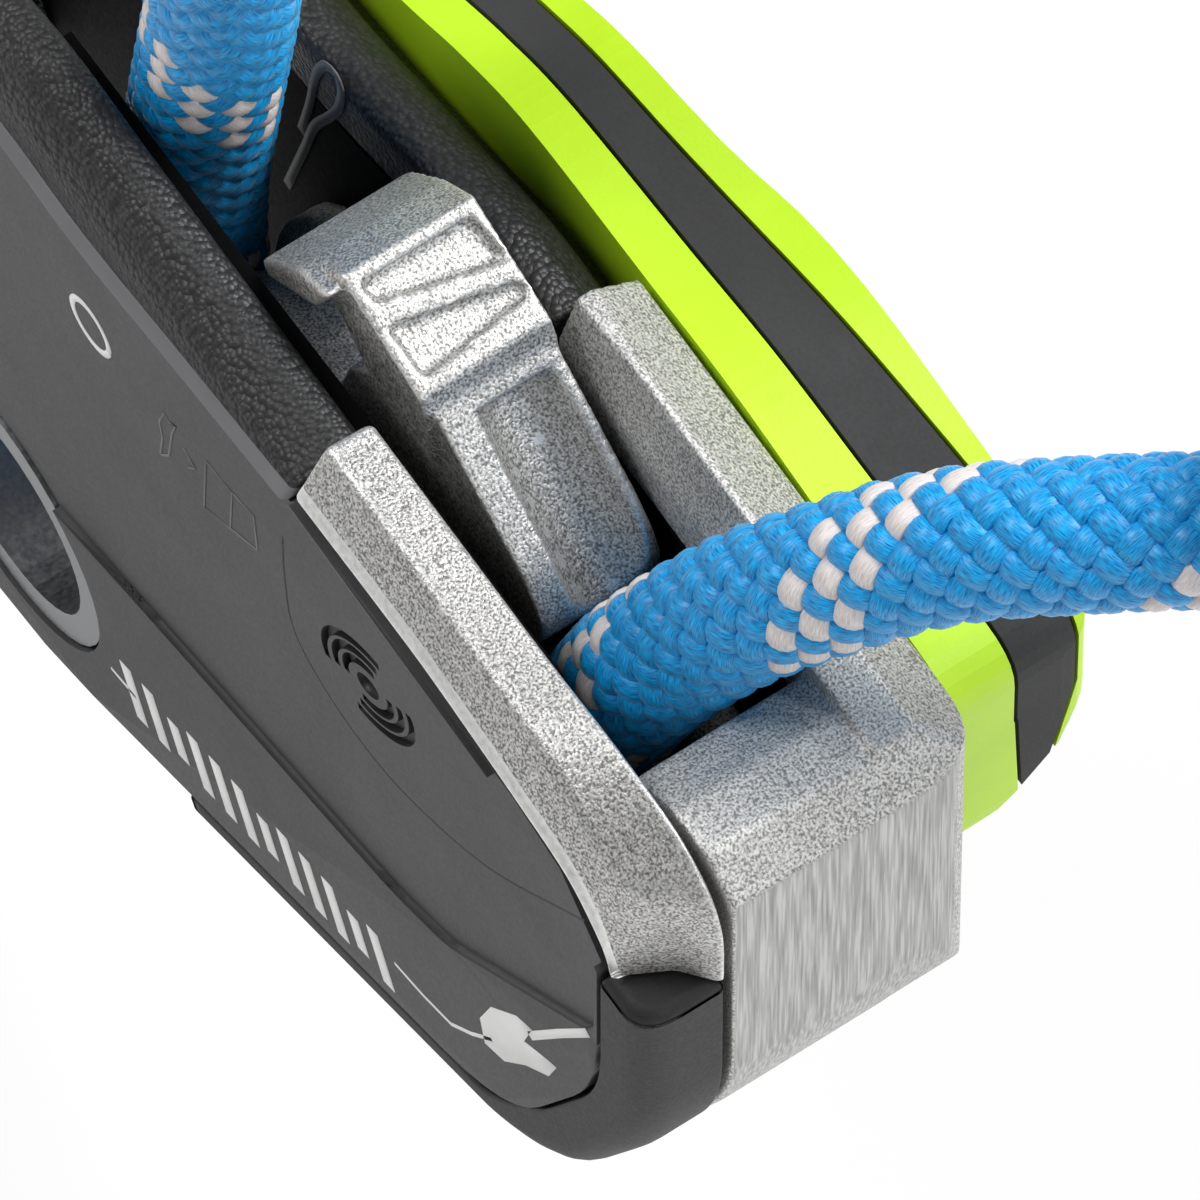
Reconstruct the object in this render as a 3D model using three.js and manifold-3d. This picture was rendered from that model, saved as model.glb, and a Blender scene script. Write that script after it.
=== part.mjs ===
// A self-braking rope descender with its rope threaded through it, in millimetres.
// X runs along the body towards the brake end, Y from the opening side plate towards the handle,
// and +Z towards the open edge where both rope strands come out.
import * as THREE from "three";
import { mergeVertices } from "three/addons/utils/BufferGeometryUtils.js";
import Module from "manifold-3d";

const wasm = await Module();
wasm.setup();

// Gap between touching pieces, how far a cutter overruns what it cuts, and a reach past every piece
const gap = 0.3;
const overrun = 3;
const beyond = 150;
const degree = Math.PI / 180;
// The most of a side that one rounded corner may take
const cornerShare = 0.5;

// Body, seen from the side. X is zero at the rear ends of the wear rails, Z at the open edge.
const endX = 41.5;
const tailX = -80;
const spineZ = -47; // where the spine line would meet the end face
const heel = { x: -44, z: -88 };
const endCorner = { z: -28.8, back: 10 };
const tailFootZ = -50;
const frontShoulder = { x: -36, z: 0 };
const frontTailZ = -12;
const backShoulder = { x: -8, z: 0 };
const backDip = { x: -31, z: -7.5 };
const backTailZ = -14;
const endRound = 7;
const cornerRound = 9;
const heelRound = 20;
const tailRound = 12;
const shoulderRound = 10;

// Layers across the thickness, along Y, from the front panel's face to the handle's
const panelThick = 4.3;
const plateThick = 2;
const ropeRoom = 14.6;
const coverThick = 4.3;
const coverSkin = 1.5;
const handleClear = 0.5;
const gripWidth = 11.7;
const panelFace = 0;
const frontPlateOut = panelFace + panelThick + gap;
const frontPlateIn = frontPlateOut + plateThick;
const backPlateIn = frontPlateIn + ropeRoom;
const backPlateOut = backPlateIn + plateThick;
const coverIn = backPlateOut + gap;
const coverFace = coverIn + coverThick;
const handleIn = coverFace + handleClear;
const handleOut = handleIn + gripWidth;

// Rope: diameter, centre of its sheave, and the radius of its middle round the sheave
const ropeWidth = 10.5;
const axle = { x: -10, z: -35 };
const wrapRadius = 23;

// Carabiner eye below the anchor strand
const eye = { x: -36, z: -64 };
const eyeRadius = 9;
const eyeWall = 2.5;

// Handle hub, with the handle's travel and the brake cam's answer to it
const hub = { x: -60, z: -28 };
const handleTravel = 45 * degree;
const camTravel = 6 * degree;

// Colours and surfaces
const castSteel = { color: 0xb9b9b7, roughness: 0.45, metalness: 1 };
const darkPanel = { color: 0x4a4a4a, roughness: 0.7, metalness: 0 };
const blackGrip = { color: 0x1f1f20, roughness: 0.55, metalness: 0 };
const blackPlate = { color: 0x161617, roughness: 0.5, metalness: 0.6 };
const greyPlate = { color: 0x9b9c9e, roughness: 0.4, metalness: 1 };
const lime = { color: 0xc8f032, roughness: 0.45, metalness: 0 };
const inlayGrey = { color: 0x3f3f3f, roughness: 0.8, metalness: 0 };
const brightSteel = { color: 0xc4c5c7, roughness: 0.25, metalness: 1 };
const bronze = { color: 0xa8814a, roughness: 0.4, metalness: 1 };
const ropeBlue = { color: 0x0f7fe0, roughness: 0.6, metalness: 0 };
const sleeveBlack = { color: 0x18181a, roughness: 0.6, metalness: 0 };

const group = new THREE.Group();

// A closed three.js geometry as a solid with its faces pointing out
function solid(geometry) {
  const bare = new THREE.BufferGeometry();
  bare.setAttribute("position", geometry.getAttribute("position"));
  if (geometry.index) bare.setIndex(geometry.index);
  const merged = mergeVertices(bare);
  const places = merged.attributes.position.array;
  const faces = [];
  for (let i = 0; i < merged.index.count; i += 3) {
    const [a, b, c] = merged.index.array.slice(i, i + 3);
    if (a !== b && b !== c && c !== a) faces.push([a, b, c]);
  }
  const corner = (i) => new THREE.Vector3().fromArray(places, i * 3);
  const volume = faces.reduce((sum, [a, b, c]) => sum + corner(a).dot(corner(b).cross(corner(c))), 0);
  const triVerts = new Uint32Array(faces.flatMap(([a, b, c]) => (volume < 0 ? [a, c, b] : [a, b, c])));
  return new wasm.Manifold(new wasm.Mesh({ numProp: 3, vertProperties: places, triVerts }));
}

// Adds a solid to the object as a named mesh
function add(name, shape, finish) {
  const made = shape.getMesh();
  const geometry = new THREE.BufferGeometry();
  geometry.setAttribute("position", new THREE.BufferAttribute(made.vertProperties, 3));
  geometry.setIndex(new THREE.BufferAttribute(made.triVerts, 1));
  geometry.computeVertexNormals();
  const mesh = new THREE.Mesh(geometry, new THREE.MeshStandardMaterial(finish));
  mesh.name = name;
  group.add(mesh);
}

// A side-view outline, x along X and y along Z, pushed through the thickness from one Y to another
function throughY(outline, from, to, steps = 6) {
  const geometry = new THREE.ExtrudeGeometry(outline, {
    depth: to - from,
    bevelEnabled: false,
    curveSegments: steps,
  });
  geometry.rotateX(Math.PI / 2);
  geometry.translate(0, to, 0);
  return solid(geometry);
}

// A plan outline, x along X and y along Y, pushed up from one Z to another
function throughZ(outline, from, to, steps = 6) {
  const depth = to - from;
  const geometry = new THREE.ExtrudeGeometry(outline, { depth, bevelEnabled: false, curveSegments: steps });
  geometry.translate(0, 0, from);
  return solid(geometry);
}

// A section outline, x along Y and y along Z, pushed along the body from one X to another
function throughX(outline, from, to, steps = 6) {
  const depth = to - from;
  const geometry = new THREE.ExtrudeGeometry(outline, { depth, bevelEnabled: false, curveSegments: steps });
  const turn = new THREE.Matrix4().makeBasis(
    new THREE.Vector3(0, 1, 0),
    new THREE.Vector3(0, 0, 1),
    new THREE.Vector3(1, 0, 0),
  );
  geometry.applyMatrix4(turn);
  geometry.translate(from, 0, 0);
  return solid(geometry);
}

// A turned piece about an axis along Y: its profile lists radius and Y
function turned(profile, place, sides = 28) {
  const points = profile.map(([radius, y]) => new THREE.Vector2(radius, y));
  const geometry = new THREE.LatheGeometry(points, sides);
  geometry.translate(place.x, 0, place.z);
  return solid(geometry);
}

function pin(place, radius, from, to, sides = 28) {
  const profile = [
    [0, from],
    [radius, from],
    [radius, to],
    [0, to],
  ];
  return turned(profile, place, sides);
}

// An outline through corners, each { x, z, round }: round is the length that the corner takes of each side
function outline(corners) {
  const shape = new THREE.Shape();
  corners.forEach((corner, i) => {
    const before = corners.at(i - 1);
    const after = corners[(i + 1) % corners.length];
    const here = new THREE.Vector2(corner.x, corner.z);
    const towards = (other) => {
      const side = new THREE.Vector2(other.x, other.z).sub(here);
      const taken = Math.min(corner.round ?? 0, side.length() * cornerShare);
      return here.clone().add(side.setLength(taken));
    };
    const start = towards(before);
    const end = towards(after);
    if (i) shape.lineTo(start.x, start.y);
    else shape.moveTo(start.x, start.y);
    if (corner.round) shape.quadraticCurveTo(here.x, here.y, end.x, end.y);
  });
  shape.closePath();
  return shape;
}

// Moves each side of a polygon inwards by its own distance: side i runs from corner i to the next
function inset(corners, distances) {
  const lines = corners.map((corner, i) => {
    const next = corners[(i + 1) % corners.length];
    const along = new THREE.Vector2(next.x - corner.x, next.z - corner.z).normalize();
    const inwards = new THREE.Vector2(along.y, -along.x);
    const start = new THREE.Vector2(corner.x, corner.z).addScaledVector(inwards, distances[i]);
    return { start, along };
  });
  return corners.map((corner, i) => {
    const a = lines.at(i - 1);
    const b = lines[i];
    const between = b.start.clone().sub(a.start);
    const reach = between.cross(b.along) / a.along.cross(b.along);
    const met = a.start.clone().addScaledVector(a.along, reach);
    return { x: met.x, z: met.y, round: corner.round };
  });
}

// A ruled solid: each line is one edge of it, listed as [x, y, z] points, and is drawn as a smooth curve
function loft(lines, stations) {
  const curves = lines.map((line) => {
    const points = line.map((point) => new THREE.Vector3(...point));
    return new THREE.CatmullRomCurve3(points, false, "centripetal");
  });
  const places = [];
  const faces = [];
  const count = curves.length;
  for (let i = 0; i <= stations; i++)
    for (const curve of curves) places.push(...curve.getPoint(i / stations).toArray());
  for (let i = 0; i < stations; i++)
    for (let k = 0; k < count; k++) {
      const a = i * count + k;
      const b = i * count + ((k + 1) % count);
      faces.push(a, b, a + count, b, b + count, a + count);
    }
  const last = stations * count;
  for (let k = 1; k < count - 1; k++) faces.push(0, k + 1, k, last, last + k, last + k + 1);
  const geometry = new THREE.BufferGeometry();
  geometry.setAttribute("position", new THREE.Float32BufferAttribute(places, 3));
  geometry.setIndex(faces);
  return solid(geometry);
}

// Screws along Y with their heads towards the handle: shank and head radius, head depth and whole length
const smallScrew = { shank: 1.2, head: 2.4, depth: 1.5, length: 5 };
const coverScrew = { shank: 1.2, head: 2.4, depth: 1.5, length: 6 };
const bigScrew = { shank: 2, head: 3.4, depth: 1.6, length: 10 };
function screw(size, place, faceY) {
  const headY = faceY - gap / 2;
  const profile = [
    [0, headY - size.length],
    [size.shank, headY - size.length],
    [size.shank, headY - size.depth],
    [size.head, headY - size.depth],
    [size.head, headY],
    [0, headY],
  ];
  return turned(profile, place, 16);
}

// The clearance hole of such a screw with its counterbore, blind where it starts at the screw's tip
function screwHole(size, place, faceY, blind) {
  const from = blind ? faceY - size.length - gap : -beyond;
  const shank = pin(place, size.shank + gap, from, beyond, 16);
  return shank.add(pin(place, size.head + gap, faceY - size.depth - gap, beyond, 20));
}

const inX = (from, to) => (share) => THREE.MathUtils.lerp(from, to, share);
const square = outline([
  { x: -beyond, z: -beyond },
  { x: beyond, z: -beyond },
  { x: beyond, z: beyond },
  { x: -beyond, z: beyond },
]);

// Body outlines

// The sides in order: open edge (two or three runs), end face, its slanting foot, spine, heel, tail
const spineAt = (x) => inX(spineZ, heel.z)((endX - x) / (endX - heel.x));
const cornerX = endX - endCorner.back;
const lowerCorners = [
  { x: endX, z: endCorner.z, round: endRound },
  { x: cornerX, z: spineAt(cornerX), round: cornerRound },
  { ...heel, round: heelRound },
  { x: tailX, z: tailFootZ, round: tailRound },
];
const frontCorners = [
  { x: tailX, z: frontTailZ, round: tailRound },
  { x: frontShoulder.x, z: frontShoulder.z, round: shoulderRound },
  { x: endX, z: 0, round: 0 },
  ...lowerCorners,
];
const backCorners = [
  { x: tailX, z: backTailZ, round: tailRound },
  { x: backDip.x, z: backDip.z, round: shoulderRound },
  { x: backShoulder.x, z: backShoulder.z, round: shoulderRound },
  { x: endX, z: 0, round: 0 },
  ...lowerCorners,
];
const lowerInset = (end, spine) => [end, end, spine, spine, spine];
const frontInset = (open, end, spine) => inset(frontCorners, [open, open, ...lowerInset(end, spine)]);
const backInset = (open, end, spine) => inset(backCorners, [open, open, open, ...lowerInset(end, spine)]);

// Wear rail of the front side: a cast bar with a polished rim and two facets along the open edge

const railTop = 5.3;
const railSetback = { rim: 4.2, crease: 2.3, inner: -0.3 };
const railFootZ = -8.8;
const railRimWidth = 0.6;
const railRimHeight = 0.9;
const railRimShare = 0.95;
const railBevel = 2.1;
// Shares of the reach and of the top's height, from the rear end
const rimShares = [
  [0, 0], [0.24, 0.09], [0.4, 0.11], [0.56, 0],
  [0.7, -0.13], [0.86, -0.36], [0.94, -0.8], [0.98, -1.2],
];
// The same with the share of the way in to the crease between them
const creaseShares = [
  [0, 0.66, 0.9], [0.23, 0.66, 0.92], [0.38, 0.64, 0.87], [0.54, 0.62, 0.83],
  [0.68, 0.58, 0.74], [0.85, 0.51, 0.34], [0.94, 0.58, 0.26], [0.985, 0.8, -0.19],
];
const innerShares = [
  [0, 0.83], [0.22, 0.85], [0.36, 0.87], [0.51, 0.89],
  [0.69, 1], [0.87, 0.87], [0.955, 0.4], [0.99, -0.25],
];
const underShares = [
  [0, -0.1], [0.2, -0.1], [0.34, -0.1], [0.48, -0.1],
  [0.62, -0.2], [0.75, -0.5], [0.82, -0.95], [0.86, -1.3],
];
const underFootShare = 0.88;
const footShare = railFootZ / railTop;
const railRimY = panelFace + gap;
const railCreaseY = frontPlateIn - railBevel;
const rimReach = endX - railSetback.rim;
const creaseReach = endX - railSetback.crease;
const innerReach = endX - railSetback.inner;
const rimLine = [...rimShares, [1, footShare]].map(([x, z]) => [x * rimReach, railRimY, z * railTop]);
const edgeLine = rimLine.map(([x, y, z]) => {
  const rise = x < rimReach * railRimShare ? railRimHeight : 0;
  return [x, y + railRimWidth, Math.max(z + rise, railFootZ)];
});
const creaseLine = [...creaseShares, [1, 1, footShare]].map(([x, y, z]) => [
  x * creaseReach,
  y * railCreaseY,
  z * railTop,
]);
const onPlate = ([x, z]) => [x * innerReach, frontPlateIn, z * railTop];
const innerLine = [...innerShares, [1, footShare]].map(onPlate);
const underLine = [...underShares, [underFootShare, footShare]].map(onPlate);
const railBar = loft([rimLine, edgeLine, creaseLine, innerLine, underLine], 28);

// Two flush rivets hold the rail's tang between the panel and the plate
const tang = { from: 4, setback: 10.5, depth: 7.5, thick: 2.2, fall: 1.1 };
const tangTo = endX - tang.setback;
const tangOut = frontPlateOut - tang.thick;
const rivetRadius = 1.5;
const rivetShares = [0.25, 0.75];
const rivetDepthShare = 0.6;
const rivets = rivetShares.map((share) => ({
  x: inX(tang.from, tangTo)(share),
  z: -tang.depth * rivetDepthShare,
}));
const tangBlock = throughY(
  outline([
    { x: tang.from, z: gap },
    { x: tangTo, z: -tang.fall },
    { x: tangTo, z: -tang.depth },
    { x: tang.from, z: -tang.depth },
  ]),
  tangOut,
  frontPlateOut - gap,
);
let frontRail = railBar.add(tangBlock);
for (const place of rivets)
  frontRail = frontRail.subtract(pin(place, rivetRadius + gap, tangOut - overrun, frontPlateOut, 16));
add("front_rail", frontRail, castSteel);
rivets.forEach((place, i) => {
  add(`rail_rivet_${i + 1}`, pin(place, rivetRadius, tangOut, frontPlateIn - gap / 2, 16), brightSteel);
});

// Front edge roll: a rounded black grip along the open edge behind the rail

const rollTop = 0.8;
const rollDrop = 6;
const rollFrontDrop = 2;
const rollEndX = -0.7;
const rollSlopeX = -26;
const rollRearShare = 0.39;
// Points across the roll, as shares of its width and of its height
const rollShares = [
  [0, 0], [0, 0.62], [0.1, 0.86], [0.28, 0.97], [0.5, 1],
  [0.72, 0.97], [0.9, 0.86], [1, 0.62], [1, 0],
];
function roll(outY, inY, stations, topAt, footAt, rings) {
  const lines = rollShares.map(([across, up]) =>
    stations.map((x) => [x, inX(outY, inY)(across), inX(footAt(x), topAt(x))(up)]),
  );
  return loft(lines, rings);
}
const frontSlope = frontTailZ / (tailX - frontShoulder.x);
const frontTopAt = (x) => rollTop + Math.min(0, (x - frontShoulder.x) * frontSlope);
const frontFootAt = (x) => {
  const share = THREE.MathUtils.clamp((x - rollEndX) / (rollSlopeX - rollEndX), 0, 1);
  return frontTopAt(x) - rollTop - inX(rollFrontDrop, rollDrop)(share);
};
const frontStations = [
  tailX,
  inX(tailX, rollEndX)(rollRearShare),
  frontShoulder.x,
  rollSlopeX,
  (rollSlopeX + rollEndX) / 2,
  rollEndX,
];
const frontTopCorners = inset(frontCorners, [-rollTop, -rollTop, ...lowerInset(0, 0)]);
const frontEnvelope = throughY(outline(frontTopCorners), -overrun, backPlateIn);
const frontRoll = roll(panelFace, frontPlateIn, frontStations, frontTopAt, frontFootAt, 16);
add("front_edge_roll", frontRoll.intersect(frontEnvelope), blackGrip);

// Front end cap: the moulded rim that wraps the brake end below the rail

const capFace = 5;
const capSpine = 2.4;
const capTailX = -13;
const capRound = 5.5;
const capOutline = throughY(outline(frontCorners), panelFace, frontPlateIn);
const seamCorners = frontInset(0, capFace, capSpine);
const seam = throughY(outline(seamCorners), panelFace - overrun, frontPlateIn + overrun);
const capPlan = throughZ(
  outline([
    { x: capTailX, z: panelFace },
    { x: endX, z: panelFace, round: capRound },
    { x: endX, z: frontPlateIn },
    { x: capTailX, z: frontPlateIn },
  ]),
  spineAt(capTailX) - overrun,
  railFootZ - gap,
);
const endCap = capOutline.subtract(seam).intersect(capPlan);
add("front_end_cap", endCap, darkPanel);

// Front plate and its moulded panel share the same upper border, just below the rail and the roll
const borderDrop = 0.9;
const borderRound = 7.2;
// Under the rail the border falls, in shares of the body's reach and of the drop
const borderShares = [
  [0, 1],
  [0.62, 1.8],
  [0.75, 3.2],
];
const rollBorder = (x) => frontFootAt(x) - gap;
const plateCorners = [
  { x: tailX, z: rollBorder(tailX), round: borderRound },
  { x: frontShoulder.x, z: rollBorder(frontShoulder.x) },
  { x: rollSlopeX, z: rollBorder(rollSlopeX) },
  { x: rollEndX, z: rollBorder(rollEndX) },
  ...borderShares.map(([x, z]) => ({ x: endX * x, z: -borderDrop * z })),
  { x: endX - capFace - gap, z: railFootZ - gap },
  ...frontInset(0, capFace + gap, capSpine + gap).slice(3),
];

// Main axle, its nut under the panel, and the ring slots that let the front plate leave the catch post
const axleRadius = 4;
const axleTip = 3;
const nutRadius = 7;
const nutThick = 1.8;
const nutOut = frontPlateOut - 2 * gap - nutThick;
const post = { x: -66, z: -58 };
const postRadius = 2.6;
const postRun = Math.hypot(post.x - axle.x, post.z - axle.z);
const postAngle = Math.atan2(post.z - axle.z, post.x - axle.x);
const slotTurn = 22 * degree;
const slotHalf = postRadius + 2 * gap;
const slotShape = new THREE.Shape();
slotShape.absarc(axle.x, axle.z, postRun + slotHalf, postAngle, postAngle + slotTurn, false);
slotShape.absarc(axle.x, axle.z, postRun - slotHalf, postAngle + slotTurn, postAngle, true);
slotShape.closePath();
const postSlot = throughY(slotShape, -overrun, backPlateIn).add(pin(post, slotHalf, -overrun, backPlateIn));
const eyeHole = pin(eye, eyeRadius + eyeWall + gap, panelFace - overrun, coverFace + overrun, 36);

const tailScrew = { x: -54, z: -22 };
const noseScrew = { back: 19.5, z: -30 };
const spineScrew = { x: -4, up: 6.8 };
const panelScrews = [
  tailScrew,
  { x: endX - noseScrew.back, z: noseScrew.z },
  { x: spineScrew.x, z: spineAt(spineScrew.x) + spineScrew.up },
];
let frontPlate = throughY(outline(plateCorners), frontPlateOut, frontPlateIn)
  .subtract(pin(axle, axleRadius + gap, -overrun, backPlateIn))
  .subtract(eyeHole)
  .subtract(postSlot);
for (const place of rivets)
  frontPlate = frontPlate.subtract(pin(place, rivetRadius + gap, -overrun, backPlateIn, 16));

// A thin guide lip on the plate stands up beside the roll and the rail, joined to the plate below them
const lip = { thick: 1.1, foot: -10, rib: -7.4, overlap: 0.5, setback: 21 };
const lipTop = [
  { x: -38, z: -3.4 },
  { x: -14, z: -2.2 },
  { x: 4, z: -0.9 },
  { x: endX - lip.setback, z: -0.4 },
];
const lipOut = frontPlateIn + gap;
const lipIn = lipOut + lip.thick;
const lipFeet = [
  { x: lipTop.at(-1).x, z: lip.foot },
  { x: lipTop[0].x, z: lip.foot },
];
const lipRibTop = lipTop.map(({ x }) => ({ x, z: lip.rib }));
frontPlate = frontPlate
  .add(throughY(outline([...lipTop, ...lipFeet]), lipOut, lipIn))
  .add(throughY(outline([...lipRibTop, ...lipFeet]), frontPlateIn - lip.overlap, lipIn));
const lipSweep = Math.hypot(lipTop.at(-1).x - axle.x, lipTop.at(-1).z - axle.z);

// The panel has a raised border along the spine and round the end, and a lower field in the middle
const fieldDepth = 0.6;
const fieldRound = 2;
const fieldTailX = -72;
const fieldLength = 104;
const fieldHeight = 82;
const fieldTailShare = 0.83;
const fieldShares = [
  [-0.18, 0.615],
  [0.11, 0.5],
  [0.175, 0.46],
  [0.345, 0.24],
  [0.345, 0.02],
];
const field = throughY(
  outline([
    { x: fieldTailX, z: -borderDrop },
    { x: fieldTailX, z: -fieldTailShare * fieldHeight, round: fieldRound },
    ...fieldShares.map(([x, z]) => ({ x: x * fieldLength, z: -z * fieldHeight, round: fieldRound })),
  ]),
  panelFace - overrun,
  panelFace + fieldDepth,
);
const tangPocket = throughY(
  outline([
    { x: tang.from - gap, z: railTop },
    { x: tangTo + gap, z: railTop },
    { x: tangTo + gap, z: -tang.depth - gap },
    { x: tang.from - gap, z: -tang.depth - gap },
  ]),
  tangOut - gap,
  frontPlateOut,
);
const turnlock = { x: -57, z: -63 };
const turnlockRadius = 6.5;
const turnlockFlat = 2.2;
let frontPanel = throughY(outline(plateCorners), panelFace, frontPlateOut - gap)
  .subtract(field)
  .subtract(tangPocket)
  .subtract(pin(axle, nutRadius + gap, nutOut - gap, backPlateIn))
  .subtract(eyeHole)
  .subtract(postSlot)
  .subtract(pin(turnlock, turnlockRadius + gap, panelFace - overrun, frontPlateIn));
for (const place of panelScrews) {
  const hole = screwHole(smallScrew, place, frontPlateIn, true);
  frontPlate = frontPlate.subtract(hole);
  frontPanel = frontPanel.subtract(hole);
}

// Catch: a quarter-turn lock with a flat side, on a rivet with a wave washer under it
const washerThick = 0.5;
const turnlockIn = frontPlateOut - 2 * gap - washerThick;
const turnlockOut = panelFace + fieldDepth;
const thumbRidge = { half: 1.3, reach: 5.5, height: 2 };
const catchPinRadius = 1.6;
const catchHead = { radius: 2.6, depth: 1 };
const catchHeadIn = turnlockOut + catchHead.depth;
const away = Math.atan2(turnlock.z - axle.z, turnlock.x - axle.x);
// A corner of the turnlock, from its place along the flat side and outwards from the axle
const turnlockCorner = (along, out) => ({
  x: turnlock.x + Math.cos(away) * out - Math.sin(away) * along,
  z: turnlock.z + Math.sin(away) * out + Math.cos(away) * along,
});
const flatCut = outline([
  turnlockCorner(-beyond, turnlockFlat),
  turnlockCorner(beyond, turnlockFlat),
  turnlockCorner(beyond, beyond),
  turnlockCorner(-beyond, beyond),
]);
const ridgeBar = outline([
  turnlockCorner(-thumbRidge.reach, -thumbRidge.half),
  turnlockCorner(thumbRidge.reach, -thumbRidge.half),
  turnlockCorner(thumbRidge.reach, thumbRidge.half),
  turnlockCorner(-thumbRidge.reach, thumbRidge.half),
]);
const turnlockDisc = pin(turnlock, turnlockRadius, turnlockOut, turnlockIn)
  .subtract(throughY(flatCut, panelFace - overrun, frontPlateIn))
  .add(throughY(ridgeBar, turnlockOut - thumbRidge.height, turnlockIn - gap))
  .subtract(pin(turnlock, catchPinRadius + gap, panelFace - overrun, frontPlateIn, 16))
  .subtract(pin(turnlock, catchHead.radius + gap, panelFace - overrun, catchHeadIn + gap, 20));
add("catch_turnlock", turnlockDisc, lime);
const catchPin = turned(
  [
    [0, turnlockOut],
    [catchHead.radius, turnlockOut],
    [catchHead.radius, catchHeadIn],
    [catchPinRadius, catchHeadIn],
    [catchPinRadius, frontPlateIn - gap / 2],
    [0, frontPlateIn - gap / 2],
  ],
  turnlock,
  16,
);
add("catch_pin", catchPin, brightSteel);
frontPlate = frontPlate.subtract(pin(turnlock, catchPinRadius + gap, 0, backPlateIn, 16));
const washerWide = 3.6;
const catchWasher = turned(
  [
    [catchPinRadius + gap, frontPlateOut - gap - washerThick],
    [washerWide, frontPlateOut - gap - washerThick],
    [washerWide, frontPlateOut - gap],
    [catchPinRadius + gap, frontPlateOut - gap],
    [catchPinRadius + gap, frontPlateOut - gap - washerThick],
  ],
  turnlock,
  16,
);
add("catch_washer", catchWasher, brightSteel);

add("front_plate", frontPlate, greyPlate);
add("front_panel", frontPanel, darkPanel);
panelScrews.forEach((place, i) => {
  add(`panel_screw_${i + 1}`, screw(smallScrew, place, frontPlateIn), brightSteel);
});

// Hard eyelets line the carabiner eye in both sides
function eyelet(from, to) {
  const wall = eyeRadius + eyeWall;
  return turned(
    [
      [eyeRadius, from],
      [wall, from],
      [wall, to],
      [eyeRadius, to],
      [eyeRadius, from],
    ],
    eye,
    36,
  );
}
add("front_eyelet", eyelet(panelFace + gap, frontPlateIn), greyPlate);
add("back_eyelet", eyelet(backPlateIn, coverFace), greyPlate);

// Back side: plate, edge roll, cast brake block with the second rail, and the mechanism cover

const backTop = 6.3;
const blockWall = 5;
const spineLip = 1.2;
const backRollTop = (x) => {
  if (x > backShoulder.x) return rollTop;
  const dip = (x - backShoulder.x) / (backDip.x - backShoulder.x);
  const tail = (x - backDip.x) / (tailX - backDip.x);
  return rollTop + (x > backDip.x ? dip * backDip.z : inX(backDip.z, backTailZ)(tail));
};
const backRollFoot = (x) => backRollTop(x) - rollTop - rollDrop;
const backStations = [
  tailX,
  (tailX + backDip.x) / 2,
  backDip.x,
  (backDip.x + backShoulder.x) / 2,
  backShoulder.x,
  rollEndX,
];
const backTopCorners = inset(backCorners, [-rollTop, -rollTop, -rollTop, ...lowerInset(0, 0)]);
const backEnvelope = throughY(outline(backTopCorners), -overrun, handleOut);
const backRoll = roll(coverFace, backPlateIn, backStations, backRollTop, backRollFoot, 18);
add("back_edge_roll", backRoll.intersect(backEnvelope), blackGrip);

const backPlateOutline = outline(backInset(backTop, blockWall + gap, spineLip));
const camPin = { radius: 2.5, run: 11.5 };
const camPinAngle = 200 * degree;
const atCamPin = (turn) => ({
  x: axle.x + camPin.run * Math.cos(camPinAngle + turn),
  z: axle.z + camPin.run * Math.sin(camPinAngle + turn),
});
// Arc slot in the back plate for the cam's drive pin, a little longer than its travel
const slotSlack = 2 * degree;
const slotEnd = camTravel + slotSlack;
const slotFrom = camPinAngle - slotSlack;
const slotTo = camPinAngle + slotEnd;
const camSlotHalf = camPin.radius + gap;
const camSlotShape = new THREE.Shape();
camSlotShape.absarc(axle.x, axle.z, camPin.run + camSlotHalf, slotFrom, slotTo, false);
camSlotShape.absarc(axle.x, axle.z, camPin.run - camSlotHalf, slotTo, slotFrom, true);
camSlotShape.closePath();
const camSlot = throughY(camSlotShape, 0, handleOut)
  .add(pin(atCamPin(-slotSlack), camSlotHalf, 0, handleOut, 20))
  .add(pin(atCamPin(slotEnd), camSlotHalf, 0, handleOut, 20));
const topBlockScrew = { back: 10.5, z: -12 };
const endBlockScrew = { back: 10, z: -27 };
const lowBlockScrew = { back: 19.5, z: -43 };
const blockScrews = [topBlockScrew, endBlockScrew, lowBlockScrew].map(({ back, z }) => ({
  x: endX - back,
  z,
}));
const tailCoverScrew = { x: -70, z: -40 };
const spineCoverScrew = { x: 8, up: 7 };
const topCoverScrew = { back: 27.5, z: -13 };
const coverScrews = [
  tailCoverScrew,
  { x: spineCoverScrew.x, z: spineAt(spineCoverScrew.x) + spineCoverScrew.up },
  { x: endX - topCoverScrew.back, z: topCoverScrew.z },
];
let backPlate = throughY(backPlateOutline, backPlateIn, backPlateOut)
  .subtract(pin(axle, axleRadius + gap, 0, handleOut))
  .subtract(camSlot)
  .subtract(eyeHole)
  .subtract(pin(post, postRadius + gap, 0, handleOut));
for (const place of blockScrews)
  backPlate = backPlate.subtract(screwHole(bigScrew, place, backPlateOut, true));
for (const place of coverScrews)
  backPlate = backPlate.subtract(screwHole(coverScrew, place, coverFace, false));
add("back_plate", backPlate, blackPlate);

// Rope. Route points are [x, y, z] in the same frame, chosen by hand.

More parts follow.
